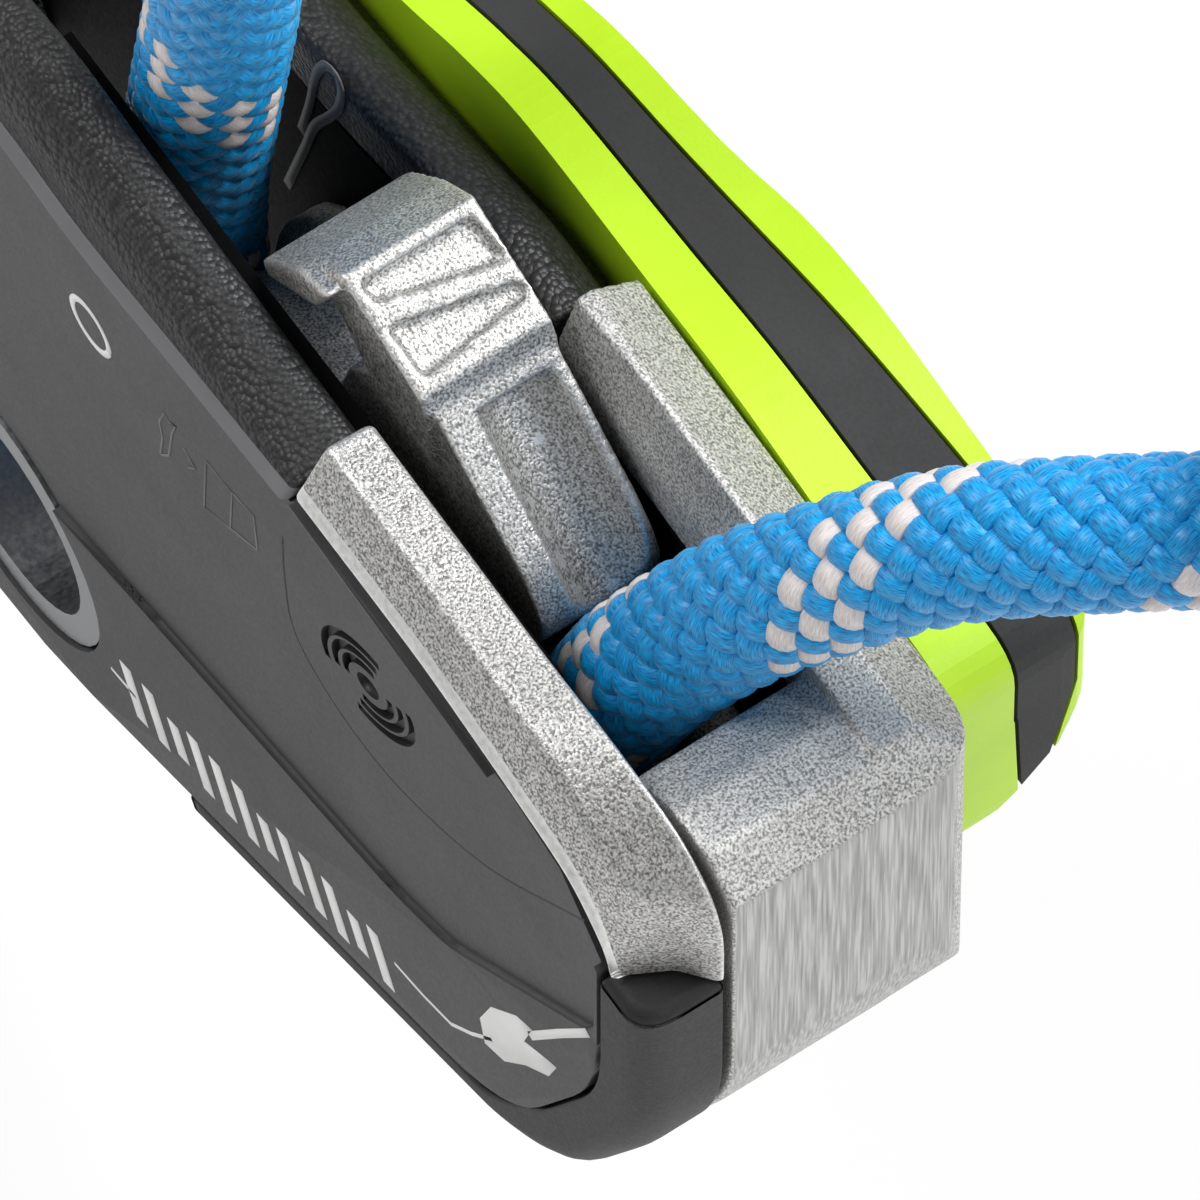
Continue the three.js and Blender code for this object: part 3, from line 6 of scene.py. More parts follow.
import bmesh
import bpy
import numpy as np
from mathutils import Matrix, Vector


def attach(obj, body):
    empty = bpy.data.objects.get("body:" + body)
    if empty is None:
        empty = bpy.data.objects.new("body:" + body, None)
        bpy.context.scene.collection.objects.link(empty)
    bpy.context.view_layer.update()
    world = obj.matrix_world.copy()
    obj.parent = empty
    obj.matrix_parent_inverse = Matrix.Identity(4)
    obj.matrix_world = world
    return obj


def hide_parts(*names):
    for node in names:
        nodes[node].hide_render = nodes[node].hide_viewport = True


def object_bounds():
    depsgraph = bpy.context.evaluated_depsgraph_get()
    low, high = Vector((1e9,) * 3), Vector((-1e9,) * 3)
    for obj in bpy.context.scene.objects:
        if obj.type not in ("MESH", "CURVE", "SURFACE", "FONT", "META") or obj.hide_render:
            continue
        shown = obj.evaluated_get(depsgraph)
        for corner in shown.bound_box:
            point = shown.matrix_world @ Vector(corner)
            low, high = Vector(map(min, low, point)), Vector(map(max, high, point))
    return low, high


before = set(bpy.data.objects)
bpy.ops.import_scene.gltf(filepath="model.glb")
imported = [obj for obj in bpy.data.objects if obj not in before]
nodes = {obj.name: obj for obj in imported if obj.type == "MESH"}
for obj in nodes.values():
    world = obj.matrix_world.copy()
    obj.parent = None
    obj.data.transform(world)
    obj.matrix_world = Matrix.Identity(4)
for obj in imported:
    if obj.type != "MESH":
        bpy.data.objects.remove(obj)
cad_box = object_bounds()

# Camera: a very long lens at the photograph's angle, close in on the brake end and looking down into
# the open edge. The frame's zero is in the middle of the carabiner eye, and the device's own zero off it.
MM = 0.001
device_zero = Vector((36.0, -13.9, 64.0)) * MM


def at(x, y, z):
    """A place in the device's millimetres, as a point of the frame."""
    return Vector((x, y, z)) * MM + device_zero


azimuth = math.radians(56)
elevation = math.radians(65)
towards_camera = Vector(
    (
        math.sin(azimuth) * math.cos(elevation),
        -math.cos(azimuth) * math.cos(elevation),
        math.sin(elevation),
    )
)
view_target = at(16, 13.9, -3.8)
view_distance = 2000 * MM
picture_pixels = 1200
pixels_per_mm = 15.2
picture_width = picture_pixels / pixels_per_mm * MM
camera_data = bpy.data.cameras.new("camera")
camera_data.lens = camera_data.sensor_width * view_distance / picture_width
camera_data.clip_end = 50
camera = bpy.data.objects.new("camera", camera_data)
camera.location = view_target + towards_camera * view_distance
camera.rotation_mode = "QUATERNION"
camera.rotation_quaternion = towards_camera.to_track_quat("Z", "Y")
bpy.context.scene.collection.objects.link(camera)
bpy.context.scene.camera = camera
bpy.context.scene.view_settings.view_transform = "Standard"


# Studio: a pale floor under the hanging device, an even white room, and soft boxes above and beside it,
# as for a product photograph on white.
def linear(code):
    """An sRGB hex colour as linear RGBA."""
    parts = [int(code[i : i + 2], 16) / 255 for i in (1, 3, 5)]
    return tuple(c / 12.92 if c <= 0.04045 else ((c + 0.055) / 1.055) ** 2.4 for c in parts) + (1,)


def add_node(tree, kind, *sockets, stops=(), **settings):
    """Adds a shader node. Its settings go by name, its sockets as (socket, value or what links to it), and
    the stops of a ramp as (position, sRGB hex or share of white)."""
    made = tree.nodes.new("ShaderNode" + kind)
    for name, value in settings.items():
        setattr(made, name, value)
    for socket, value in sockets:
        if isinstance(value, bpy.types.Node):
            value = value.outputs[0]
        if isinstance(value, bpy.types.NodeSocket):
            tree.links.new(value, made.inputs[socket])
        else:
            made.inputs[socket].default_value = value
    if stops:
        elements = made.color_ramp.elements
        while len(elements) < len(stops):
            elements.new(0.5)
        for element, (position, colour) in zip(elements, stops):
            element.position = position
            element.color = linear(colour) if isinstance(colour, str) else (colour, colour, colour, 1)
    return made


def new_tree(owner):
    """The emptied node tree of a material or a world."""
    owner.use_nodes = True
    owner.node_tree.nodes.clear()
    return owner.node_tree


# Painted board: matt white, seen mostly as bright paper with the device's shadow left on it
white = (1, 1, 1, 1)
board_white = (0.82, 0.82, 0.82, 1)
paper_share = 0.80
white_board = bpy.data.materials.new("painted_white_board")
tree = new_tree(white_board)
rays = add_node(tree, "LightPath")
lit_board = add_node(tree, "BsdfDiffuse", ("Color", board_white))
bright_board = add_node(tree, "Emission", ("Color", white), ("Strength", 1.0))
paper = add_node(tree, "MixShader", (0, paper_share), (1, lit_board), (2, bright_board))
seen_board = add_node(tree, "MixShader", (0, rays.outputs["Is Camera Ray"]), (1, lit_board), (2, paper))
add_node(tree, "OutputMaterial", ("Surface", seen_board))

floor_drop = 60 * MM
floor_half = 6.0
floor_mesh = bpy.data.meshes.new("floor")
floor_z = cad_box[0][2] - floor_drop
floor_mesh.from_pydata(
    [(x * floor_half, y * floor_half, floor_z) for x, y in ((-1, -1), (1, -1), (1, 1), (-1, 1))],
    [],
    [(0, 1, 2, 3)],
)
floor_mesh.materials.append(white_board)
floor = bpy.data.objects.new("floor", floor_mesh)
bpy.context.scene.collection.objects.link(floor)

room_strength = 0.3
world = bpy.data.worlds.new("white_room")
bpy.context.scene.world = world
tree = new_tree(world)
rays = add_node(tree, "LightPath")
room_light = add_node(tree, "Background", ("Color", white), ("Strength", room_strength))
room_seen = add_node(tree, "Background", ("Color", white), ("Strength", 1.0))
room = add_node(tree, "MixShader", (0, rays.outputs["Is Camera Ray"]), (1, room_light), (2, room_seen))
add_node(tree, "OutputWorld", ("Surface", room))


def soft_box(name, azimuth_deg, elevation_deg, distance, size, watts):
    """A square lamp that looks at the device from an azimuth measured as the camera's is."""
    turn, rise = math.radians(azimuth_deg), math.radians(elevation_deg)
    away = Vector((math.sin(turn) * math.cos(rise), -math.cos(turn) * math.cos(rise), math.sin(rise)))
    lamp_data = bpy.data.lights.new(name, "AREA")
    lamp_data.size = size
    lamp_data.energy = watts
    lamp = bpy.data.objects.new(name, lamp_data)
    lamp.location = view_target + away * distance
    lamp.rotation_mode = "QUATERNION"
    lamp.rotation_quaternion = away.to_track_quat("Z", "Y")
    bpy.context.scene.collection.objects.link(lamp)


soft_box("key_box", azimuth_deg=165, elevation_deg=56, distance=1.1, size=0.5, watts=13)
soft_box("end_box", azimuth_deg=95, elevation_deg=26, distance=1.2, size=0.5, watts=3)
soft_box("left_box", azimuth_deg=-50, elevation_deg=48, distance=1.2, size=0.4, watts=6)


# Rope: a kernmantle rope of 10.5 mm. Its polyamide sheath is braided from ten flat strands each way, one
# over and one under, which gives rows of plump diamonds. Three white strands side by side are its tracers.
def smooth_curve(points, per_span):
    """The centripetal curve through some places, with as many points for each span between two of them."""
    points = [np.array(at(*point)) for point in points]
    points = [2 * points[0] - points[1], *points, 2 * points[-1] - points[-2]]
    fine = []
    for before, start, end, after in zip(points, points[1:], points[2:], points[3:]):
        gaps = [math.sqrt(np.linalg.norm(b - a)) for a, b in ((before, start), (start, end), (end, after))]
        leave = (start - before) / gaps[0] - (end - before) / (gaps[0] + gaps[1]) + (end - start) / gaps[1]
        arrive = (end - start) / gaps[1] - (after - start) / (gaps[1] + gaps[2]) + (after - end) / gaps[2]
        leave, arrive = leave * gaps[1], arrive * gaps[1]
        for share in np.linspace(0, 1, per_span, endpoint=False):
            square, cube = share**2, share**3
            fine.append(
                (2 * cube - 3 * square + 1) * start
                + (cube - 2 * square + share) * leave
                + (3 * square - 2 * cube) * end
                + (cube - square) * arrive
            )
    return np.array([*fine, points[-2]])


def even_steps(line, step):
    """The same line with its points an even step apart."""
    run = np.concatenate([[0], np.cumsum(np.linalg.norm(np.diff(line, axis=0), axis=1))])
    count = max(2, round(run[-1] / step) + 1)
    places = np.linspace(0, run[-1], count)
    return np.stack([np.interp(places, run, line[:, i]) for i in range(3)], axis=1)


def smooth_route(points, step, per_span=24):
    """Points a step apart along the curve through a route's points."""
    return even_steps(smooth_curve(points, per_span), step)


def unit(vectors):
    """The same directions with a length of one."""
    return vectors / np.linalg.norm(vectors, axis=-1, keepdims=True)


def travelling_frame(line, first_side):
    """Directions along and square to a line, without twist."""
    along = unit(np.gradient(line, axis=0))
    sides = np.zeros_like(line)
    side = np.array(first_side, float)
    for i, direction in enumerate(along):
        side = side - direction * side.dot(direction)
        side /= np.linalg.norm(side)
        sides[i] = side
    return along, sides, np.cross(along, sides)


def new_piece(name, mesh, *materials):
    """An object of a mesh, with its materials."""
    piece = bpy.data.objects.new(name, mesh)
    bpy.context.scene.collection.objects.link(piece)
    for material in materials:
        mesh.materials.append(material)
    return piece


rope_diameter = 10.5 * MM
strands_each_way = 10
braid_row = 3.14 * MM
braid_pitch = braid_row * strands_each_way
strand_width = 2.36 * MM
strand_thick = 1.25 * MM
strand_lift = 0.42 * MM
strand_run = rope_diameter / 2 - strand_lift - strand_thick / 2
core_radius = strand_run - 0.2 * MM
core_sides = 14
crossing_snap = 1.3
# The strand's section from edge to edge over its crown, then its back
strand_section = [
    (-1, -0.15), (-0.86, 0.42), (-0.5, 0.84), (0, 1),
    (0.5, 0.84), (0.86, 0.42), (1, -0.15), (0, -0.8),
]
tracers = (0, 1, 2)


def braid(name, line, first_side, start_turn):
    """A braided sheath round a line, as one mesh of real strands over a plain core."""
    along, side, up = travelling_frame(line, first_side)
    run = np.concatenate([[0], np.cumsum(np.linalg.norm(np.diff(line, axis=0), axis=1))])
    vertices, faces, face_kinds, uv = [], [], [], []
    count = len(line)
    for hand in (1, -1):
        wave = np.cos(2 * np.pi * run / braid_row)
        lift = -hand * strand_lift * np.tanh(crossing_snap * wave) / np.tanh(crossing_snap)
        for k in range(strands_each_way):
            turn = start_turn + 2 * np.pi * (k / strands_each_way + hand * run / braid_pitch)
            out = np.cos(turn)[:, None] * side + np.sin(turn)[:, None] * up
            middle = line + out * (strand_run + lift)[:, None]
            forward = unit(np.gradient(middle, axis=0))
            across = unit(np.cross(forward, out))
            crown = np.cross(across, forward)
            first = len(vertices)
            rings = np.stack(
                [
                    middle + across * (x * strand_width / 2) + crown * (y * strand_thick / 2)
                    for x, y in strand_section
                ],
                axis=1,
            )
            sides = len(strand_section)
            vertices.extend(rings.reshape(-1, 3))
            kind = 1 if hand == -1 and k in tracers else 0
            for i in range(count - 1):
                for j in range(sides):
                    a = first + i * sides + j
                    b = first + i * sides + (j + 1) % sides
                    faces.append((a, b, b + sides, a + sides))
                    face_kinds.append(kind)
                    low, high = run[i] / MM, run[i + 1] / MM
                    uv.extend([(j, low), (j + 1, low), (j + 1, high), (j, high)])
            for ring, order in ((first, -1), (first + (count - 1) * sides, 1)):
                faces.append([ring + j for j in range(sides)][::order])
                face_kinds.append(kind)
                uv.extend([(0, 0)] * sides)
    sides = core_sides
    first = len(vertices)
    for i in range(count):
        for j in range(sides):
            turn = 2 * math.pi * j / sides
            out = math.cos(turn) * side[i] + math.sin(turn) * up[i]
            vertices.append(line[i] + core_radius * out)
    for i in range(count - 1):
        for j in range(sides):
            a = first + i * sides + j
            b = first + i * sides + (j + 1) % sides
            faces.append((a, b, b + sides, a + sides))
            face_kinds.append(0)
            uv.extend([(0, 0)] * 4)
    for ring, order in ((first, -1), (first + (count - 1) * sides, 1)):
        faces.append([ring + j for j in range(sides)][::order])
        face_kinds.append(0)
        uv.extend([(0, 0)] * sides)
    mesh = bpy.data.meshes.new(name)
    mesh.from_pydata([tuple(v) for v in vertices], [], faces)
    mesh.polygons.foreach_set("material_index", face_kinds)
    mesh.polygons.foreach_set("use_smooth", [True] * len(faces))
    layer = mesh.uv_layers.new(name="along_strand")
    layer.data.foreach_set("uv", np.array(uv, float).ravel())
    mesh.update()
    return new_piece(name, mesh, blue_yarn, white_yarn)


def filament_yarn(name, light, dark):
    """Polyamide filament yarn: silky, with fine filaments that run along each strand. Real ones are a few
    hundredths of a millimetre across, and these are drawn about twice as coarse so that they show."""
    material = bpy.data.materials.new(name)
    tree = new_tree(material)
    strand = add_node(tree, "UVMap", uv_map="along_strand")
    drawn_out = add_node(tree, "Mapping", ("Vector", strand), ("Scale", (3.2, 0.9, 1)))
    filaments = add_node(tree, "TexNoise", ("Vector", drawn_out), ("Scale", 2.6), ("Detail", 2.0))
    shade = add_node(tree, "ValToRGB", ("Fac", filaments), stops=[(0.32, dark), (0.62, light)])
    ridges = add_node(tree, "Bump", ("Height", filaments), ("Strength", 0.55), ("Distance", 0.06 * MM))
    shader = add_node(
        tree,
        "BsdfPrincipled",
        ("Base Color", shade),
        ("Normal", ridges),
        ("Roughness", 0.36),
        ("IOR", 1.53),
        ("Sheen Weight", 0.15),
        ("Sheen Roughness", 0.35),
    )
    add_node(tree, "OutputMaterial", ("Surface", shader))
    return material


blue_yarn = filament_yarn("blue_polyamide_yarn", "#0CB2F6", "#00519A")
white_yarn = filament_yarn("white_polyamide_yarn", "#E9E2DF", "#C4BCBC")

# The route of the rope's middle, from under the sheave up to the sewn eye, and on to the brake hand
anchor_route = [
    (-11.4, 13.9, -58),
    (-18, 13.9, -56.6),
    (-25.6, 13.9, -52),
    (-31, 13.9, -44.5),
    (-33, 13.9, -35),
    (-32.8, 13.9, -24),
    (-31.2, 13.9, -10),
    (-29.6, 13.9, 2),
    (-28.3, 13.9, 12),
    (-27.8, 13.9, 22),
    (-27.6, 13.9, 36),
]
brake_route = [
    (-8.6, 13.9, -58),
    (-2, 13.9, -56.6),
    (5.6, 13.9, -51.8),
    (11, 13.9, -44.5),
    (13.2, 13.9, -35),
    (14.6, 13.9, -26),
    (17.6, 13.9, -16.5),
    (20.9, 13.9, -6.2),
    (24, 16.2, 2.5),
    (27.1, 18.8, 9.6),
    (30.6, 22.2, 15.7),
    (33.8, 25.7, 20.5),
    (37.5, 29.5, 24.7),
    (41.3, 33.3, 27.7),
    (45.3, 37.7, 30.2),
    (49.6, 42.8, 32.1),
]
rope_step = braid_row / 10
anchor_line = smooth_route(anchor_route, rope_step)
anchor_strand = braid("anchor_strand_rope", anchor_line, (1, 0, 0), 0.4)
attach(anchor_strand, "back_side")
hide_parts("anchor_strand")
brake_line = smooth_route(brake_route, rope_step)
brake_strand = braid("brake_strand_rope", brake_line, (0, 0, 1), 0.768)
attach(brake_strand, "back_side")
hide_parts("brake_strand")


# Sewn eye: the anchor strand's end is folded back into a loop for a carabiner and stitched through both
# legs. A black tube is shrunk over the stitches, and its ribs follow them.
sleeve_gap = 0.3
sleeve_length = 36
leg_spread = 5.55
sleeve_reach = 6.45
sleeve_foot = anchor_route[-1][2] + sleeve_gap
sleeve_middle = (anchor_route[-1][0] - leg_spread, anchor_route[-1][1])
sleeve_round = 1.6
sleeve_draw_in = 0.9
stitch_rows = 9
stitch_rise = 0.22


def ring_body(name, rings, material):
    """A closed body skinned over rings of points, its two ends closed to their middles."""
    count, sides, _ = rings.shape
    vertices = [*rings.reshape(-1, 3), rings[0].mean(axis=0), rings[-1].mean(axis=0)]
    faces = []
    for ring in range(count - 1):
        for j in range(sides):
            a, b = ring * sides + j, ring * sides + (j + 1) % sides
            faces.append((a, b, b + sides, a + sides))
    last = (count - 1) * sides
    for j in range(sides):
        k = (j + 1) % sides
        faces.append((k, j, count * sides))
        faces.append((last + j, last + k, count * sides + 1))
    mesh = bpy.data.meshes.new(name)
    mesh.from_pydata([tuple(v) for v in vertices], [], faces)
    tidy = bmesh.new()
    tidy.from_mesh(mesh)
    bmesh.ops.recalc_face_normals(tidy, faces=tidy.faces)
    tidy.to_mesh(mesh)
    tidy.free()
    mesh.polygons.foreach_set("use_smooth", [True] * len(mesh.polygons))
    return new_piece(name, mesh, material)


def mount(piece, body, slot, *nodes_replaced):
    """Rides a piece on its body and hides the CAD nodes that it stands in for; its slot is not used."""
    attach(piece, body)
    if nodes_replaced:
        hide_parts(*nodes_replaced)


def moulded(name, light, dark, rough, grain_mm, depth_mm, ior=1.53, drift_mm=9.0):
    """A moulded plastic: a fine texture from the mould, and a colour that drifts slightly and slowly."""
    material = bpy.data.materials.new(name)
    tree = new_tree(material)
    place = add_node(tree, "TexCoord").outputs["Object"]
    fine = add_node(tree, "TexNoise", ("Vector", place), ("Scale", 1 / (grain_mm * MM)), ("Detail", 2.0))
    wide = add_node(tree, "TexNoise", ("Vector", place), ("Scale", 1 / (drift_mm * MM)), ("Detail", 2.0))
    colour = add_node(tree, "ValToRGB", ("Fac", wide), stops=[(0.35, dark), (0.65, light)])
    dull = add_node(tree, "ValToRGB", ("Fac", fine), stops=[(0.3, rough - 0.05), (0.7, rough + 0.05)])
    texture = add_node(tree, "Bump", ("Height", fine), ("Strength", 1.0), ("Distance", depth_mm * MM))
    shader = add_node(
        tree,
        "BsdfPrincipled",
        ("Base Color", colour),
        ("Roughness", dull),
        ("Normal", texture),
        ("IOR", ior),
    )
    add_node(tree, "OutputMaterial", ("Surface", shader))
    return material


# Shrunk polyolefin: a satin black skin that is drawn tight over the stitches
shrunk_tube = moulded(
    "shrunk_polyolefin_tube", "#232325", "#1B1B1D", rough=0.45, grain_mm=0.4, depth_mm=0.03, ior=1.5
)
sleeve_rings = []
for height in np.linspace(0, sleeve_length, 120):
    from_end = min(height, sleeve_length - height)
    reach = sleeve_reach - sleeve_draw_in * max(0, 1 - from_end / sleeve_round) ** 2
    reach += stitch_rise * (abs(math.sin(math.pi * stitch_rows * height / sleeve_length)) - 1)
    ring = []
    for turn in np.linspace(-90, 270, 48, endpoint=False):
        side = 1 if turn < 90 else -1
        x = sleeve_middle[0] + side * leg_spread + reach * math.cos(math.radians(turn))
        y = sleeve_middle[1] + reach * math.sin(math.radians(turn))
        ring.append(at(x, y, sleeve_foot + height))
    sleeve_rings.append(ring)
sleeve = ring_body("stitched_sleeve", np.array(sleeve_rings), shrunk_tube)
mount(sleeve, "back_side", "black_sleeve", "eye_sleeve")

loop_height = 38
loop_half = 13
# The loop's places, as shares of its half width and of its height
loop_shares = [
    (-0.43, 0), (-0.43, 0.12), (-0.85, 0.42), (-1, 0.66), (-0.72, 0.91), (0, 1),
    (0.72, 0.91), (1, 0.66), (0.85, 0.42), (0.43, 0.12), (0.43, 0),
]
loop_foot = sleeve_foot + sleeve_length + sleeve_gap
loop_route = [
    (sleeve_middle[0] + x * loop_half, sleeve_middle[1], loop_foot + z * loop_height)
    for x, z in loop_shares
]
bend_step = rope_step * 1.4
loop_line = smooth_route(loop_route, bend_step)
eye_loop = braid("eye_loop_rope", loop_line, (0, 1, 0), 0)
mount(eye_loop, "back_side", "blue_rope", "eye_loop")

# Stopper knot: a barrel knot. The strand runs on straight, turns out at the far end and comes back in tight
# turns round itself, with its sealed end tucked beside the last one.
knot_gap = 0.3
knot_turns = 2.15
wrap_start = 27.2
wrap_pitch = 10.6
wrap_reach = 10.6
strand_end = np.array(brake_route[-1], float)
knot_along = unit(strand_end - np.array(brake_route[-2], float))
knot_side = unit(np.cross(knot_along, (0, 0, 1)))
knot_up = np.cross(knot_along, knot_side)
straight_runs = (0, 6, 12, 18, 23)
knot_route = [strand_end + knot_along * (knot_gap + run) for run in straight_runs]
# Places of the turn and of the wraps: how far along the strand, how far out from it, and the angle round it
turn_out = [(27, 1.2, 200), (28.9, 4.6, 215), (28.4, 8.6, 240)]
wraps = [
    (wrap_start - wrap_pitch * share * knot_turns, wrap_reach, 270 + 360 * share * knot_turns)
    for share in np.linspace(0, 1, 22)
]
for run, reach, angle in [*turn_out, *wraps]:
    turn = math.radians(angle)
    out = math.cos(turn) * knot_side + math.sin(turn) * knot_up
    knot_route.append(strand_end + knot_along * (knot_gap + run) + out * reach)
knot_line = smooth_route([tuple(point) for point in knot_route], bend_step)
knot = braid("stopper_knot_rope", knot_line, knot_side, 0)
mount(knot, "back_side", "blue_rope", "stopper_knot")


# Front wear rail: a bar along the front side's rim, of stainless steel moulded as powder and sintered. A
# crease divides its two facets, the rope has rubbed its rim bright, and a tang reaches down between the
# panel and the plate for two rivets.
steel_grain = 0.2 * MM
steel_dimple = 0.6 * MM


def sintered_steel(name, light, middle, dark, rough, polish):
    """Sintered steel: a bright salt-and-pepper grain of about 0.2 mm, duller than turned steel, over coarser
    dimples of about 0.6 mm. Wear has polished its edges."""
    material = bpy.data.materials.new(name)
    tree = new_tree(material)
    place = add_node(tree, "TexCoord").outputs["Object"]
    fine = add_node(tree, "TexNoise", ("Vector", place), ("Scale", 1 / steel_grain), ("Detail", 1.0))
    coarse = add_node(tree, "TexNoise", ("Vector", place), ("Scale", 1 / steel_dimple), ("Detail", 2.0))
    skin = add_node(tree, "ValToRGB", ("Fac", fine), stops=[(0.34, dark), (0.5, middle), (0.66, light)])
    edge = add_node(tree, "NewGeometry").outputs["Pointiness"]
    worn = add_node(tree, "ValToRGB", ("Fac", edge), stops=[(0.515, 0.0), (0.56, polish)])
    colour = add_node(tree, "MixRGB", ("Fac", worn), ("Color1", skin), ("Color2", linear("#F4F4F2")))
    dull = add_node(tree, "ValToRGB", ("Fac", coarse), stops=[(0.3, rough - 0.05), (0.7, rough + 0.08)])
    roughness = add_node(
        tree, "MixRGB", ("Fac", worn), ("Color1", dull), ("Color2", (0.36, 0.36, 0.36, 1))
    )
    dimples = add_node(tree, "Bump", ("Height", coarse), ("Strength", 1.0), ("Distance", 0.05 * MM))
    grains = add_node(
        tree, "Bump", ("Height", fine), ("Strength", 1.0), ("Distance", 0.05 * MM), ("Normal", dimples)
    )
    shader = add_node(
        tree,
        "BsdfPrincipled",
        ("Base Color", colour),
        ("Metallic", 0.8),
        ("Roughness", roughness),
        ("Normal", grains),
    )
    add_node(tree, "OutputMaterial", ("Surface", shader))
    return material


cast_steel = sintered_steel(
    "sintered_stainless_steel", "#DEDDDA", "#BAB9B6", "#787775", rough=0.48, polish=0.7
)

# Polished steel: where the rope rubs, the grain is worn away, and only faint waves of 0.5 mm are left
polished_steel = bpy.data.materials.new("worn_polished_steel")
tree = new_tree(polished_steel)
place = add_node(tree, "TexCoord").outputs["Object"]
fine = add_node(tree, "TexNoise", ("Vector", place), ("Scale", 1 / (0.5 * MM)), ("Detail", 2.0))
colour = add_node(tree, "ValToRGB", ("Fac", fine), stops=[(0.3, "#D6D6D3"), (0.7, "#F0F0EE")])
dull = add_node(tree, "ValToRGB", ("Fac", fine), stops=[(0.3, 0.34), (0.7, 0.42)])
waves = add_node(tree, "Bump", ("Height", fine), ("Strength", 1.0), ("Distance", 0.02 * MM))
shader = add_node(
    tree,
    "BsdfPrincipled",
    ("Base Color", colour),
    ("Metallic", 0.85),
    ("Roughness", dull),
    ("Normal", waves),
)
add_node(tree, "OutputMaterial", ("Surface", shader))


def smooth_lines(lines, per_span):
    """Corner lines of a bar, each a list of places, as rings of corners along it."""
    return np.stack([smooth_curve(line, per_span) for line in lines], axis=1)


largest_round = 0.48


def rounded(rings, rounds, steps=4):
    """The same rings with each corner rounded: a round is the length in mm that it takes of each side."""
    before, after = np.roll(rings, 1, axis=1), np.roll(rings, -1, axis=1)
    points = []
    for j, size in enumerate(rounds):
        here = rings[:, j]
        ends = []
        for other in (before[:, j], after[:, j]):
            run = np.linalg.norm(other - here, axis=1, keepdims=True)
            taken = np.minimum(size * MM, run * largest_round) / np.maximum(run, 1e-9)
            ends.append(here + (other - here) * taken)
        for share in np.linspace(0, 1, steps + 1):
            points.append((1 - share) ** 2 * ends[0] + 2 * share * (1 - share) * here + share**2 * ends[1])
    return np.stack(points, axis=1)


def round_ends(rings, size_mm, steps=5):
    """The same rings with both ends of the body rounded over."""
    size = size_mm * MM
    caps = []
    for end, inner in ((rings[0], rings[1]), (rings[-1], rings[-2])):
        middle = end.mean(axis=0)
        outwards = unit(middle - inner.mean(axis=0))
        spread = np.linalg.norm(end - middle, axis=1).mean()
        cap = []
        for turn in np.linspace(0, math.pi / 2, steps):
            shrink = 1 - size * (1 - math.cos(turn)) / spread
            cap.append(middle + (end - middle) * shrink + outwards * size * (math.sin(turn) - 1))
        caps.append(cap)
    return np.array([*caps[0][::-1], *rings[1:-1], *caps[1]])


def finish_mesh(piece):
    """Smooth shading that keeps broad faces flat."""
    level = piece.modifiers.new("even_shading", "WEIGHTED_NORMAL")
    level.weight = 80
    level.keep_sharp = True
    return piece


def strips(piece, sides, marked, index):
    """Gives some strips of a skinned body another of its materials."""
    for face in piece.data.polygons:
        if face.index % sides in marked and len(face.vertices) == 4:
            face.material_index = index


# The lines of places are the bar's edges, in shares of its reach and of its height over the device's zero
side_depth = 6.6
rail_top = 5.3
rail_bottom = -8.8
rail_foot = rail_bottom / rail_top
rim_depth = 0.3
edge_depth = 0.9
rim_reach = 37.3
crease_reach = 39.2
crease_depth = 4.5
inner_reach = 41.8
rub_rise = 0.9
rub_end = 35.4
rail_rounds = [0.3, 0.4, 0.7, 0.6, 0.3]
rail_end_round = 0.5
rubbed_strips = range(1, 8)
rim_shares = [
    (0, 0), (0.24, 0.09), (0.4, 0.11), (0.56, 0),
    (0.7, -0.13), (0.86, -0.36), (0.94, -0.8), (0.98, -1.2),
]
crease_shares = [
    (0, 0.66, 0.9), (0.23, 0.66, 0.92), (0.38, 0.64, 0.87), (0.54, 0.62, 0.83),
    (0.68, 0.58, 0.74), (0.85, 0.51, 0.34), (0.94, 0.58, 0.26), (0.985, 0.8, -0.19),
]
inner_shares = [
    (0, 0.83), (0.22, 0.85), (0.36, 0.87), (0.51, 0.89),
    (0.69, 1), (0.87, 0.87), (0.955, 0.4), (0.99, -0.25),
]
under_shares = [
    (0, -0.1), (0.2, -0.1), (0.34, -0.1), (0.48, -0.1),
    (0.62, -0.2), (0.75, -0.5), (0.82, -0.95), (0.86, -1.3),
]
rim_line = [(x * rim_reach, rim_depth, z * rail_top) for x, z in [*rim_shares, (1, rail_foot)]]
edge_line = [(x, edge_depth, max(z + rub_rise * (x < rub_end), rail_bottom)) for x, _, z in rim_line]
crease_line = [
    (x * crease_reach, y * crease_depth, z * rail_top) for x, y, z in [*crease_shares, (1, 1, rail_foot)]
]
inner_line = [(x * inner_reach, side_depth, z * rail_top) for x, z in [*inner_shares, (1, rail_foot)]]
under_line = [(x * inner_reach, side_depth, z * rail_top) for x, z in [*under_shares, (0.88, rail_foot)]]
rail_rings = smooth_lines([rim_line, edge_line, crease_line, inner_line, under_line], 7)
rail_rings = round_ends(rounded(rail_rings, rail_rounds), rail_end_round)
rail = finish_mesh(ring_body("cast_wear_rail", rail_rings, cast_steel))
rail.data.materials.append(polished_steel)
strips(rail, rail_rings.shape[1], rubbed_strips, 1)
mount(rail, "front_side", "cast_steel", "front_rail")
tang_corners = [(4, 0.3), (31, -1.1), (31, -7.5), (4, -7.5)]
tang_faces = (2.4, 4.3)
tang_rings = np.array([[at(x, y, z) for x, z in tang_corners] for y in tang_faces])
mount(ring_body("rail_tang", tang_rings, cast_steel), "front_side", "cast_steel", "front_rail")


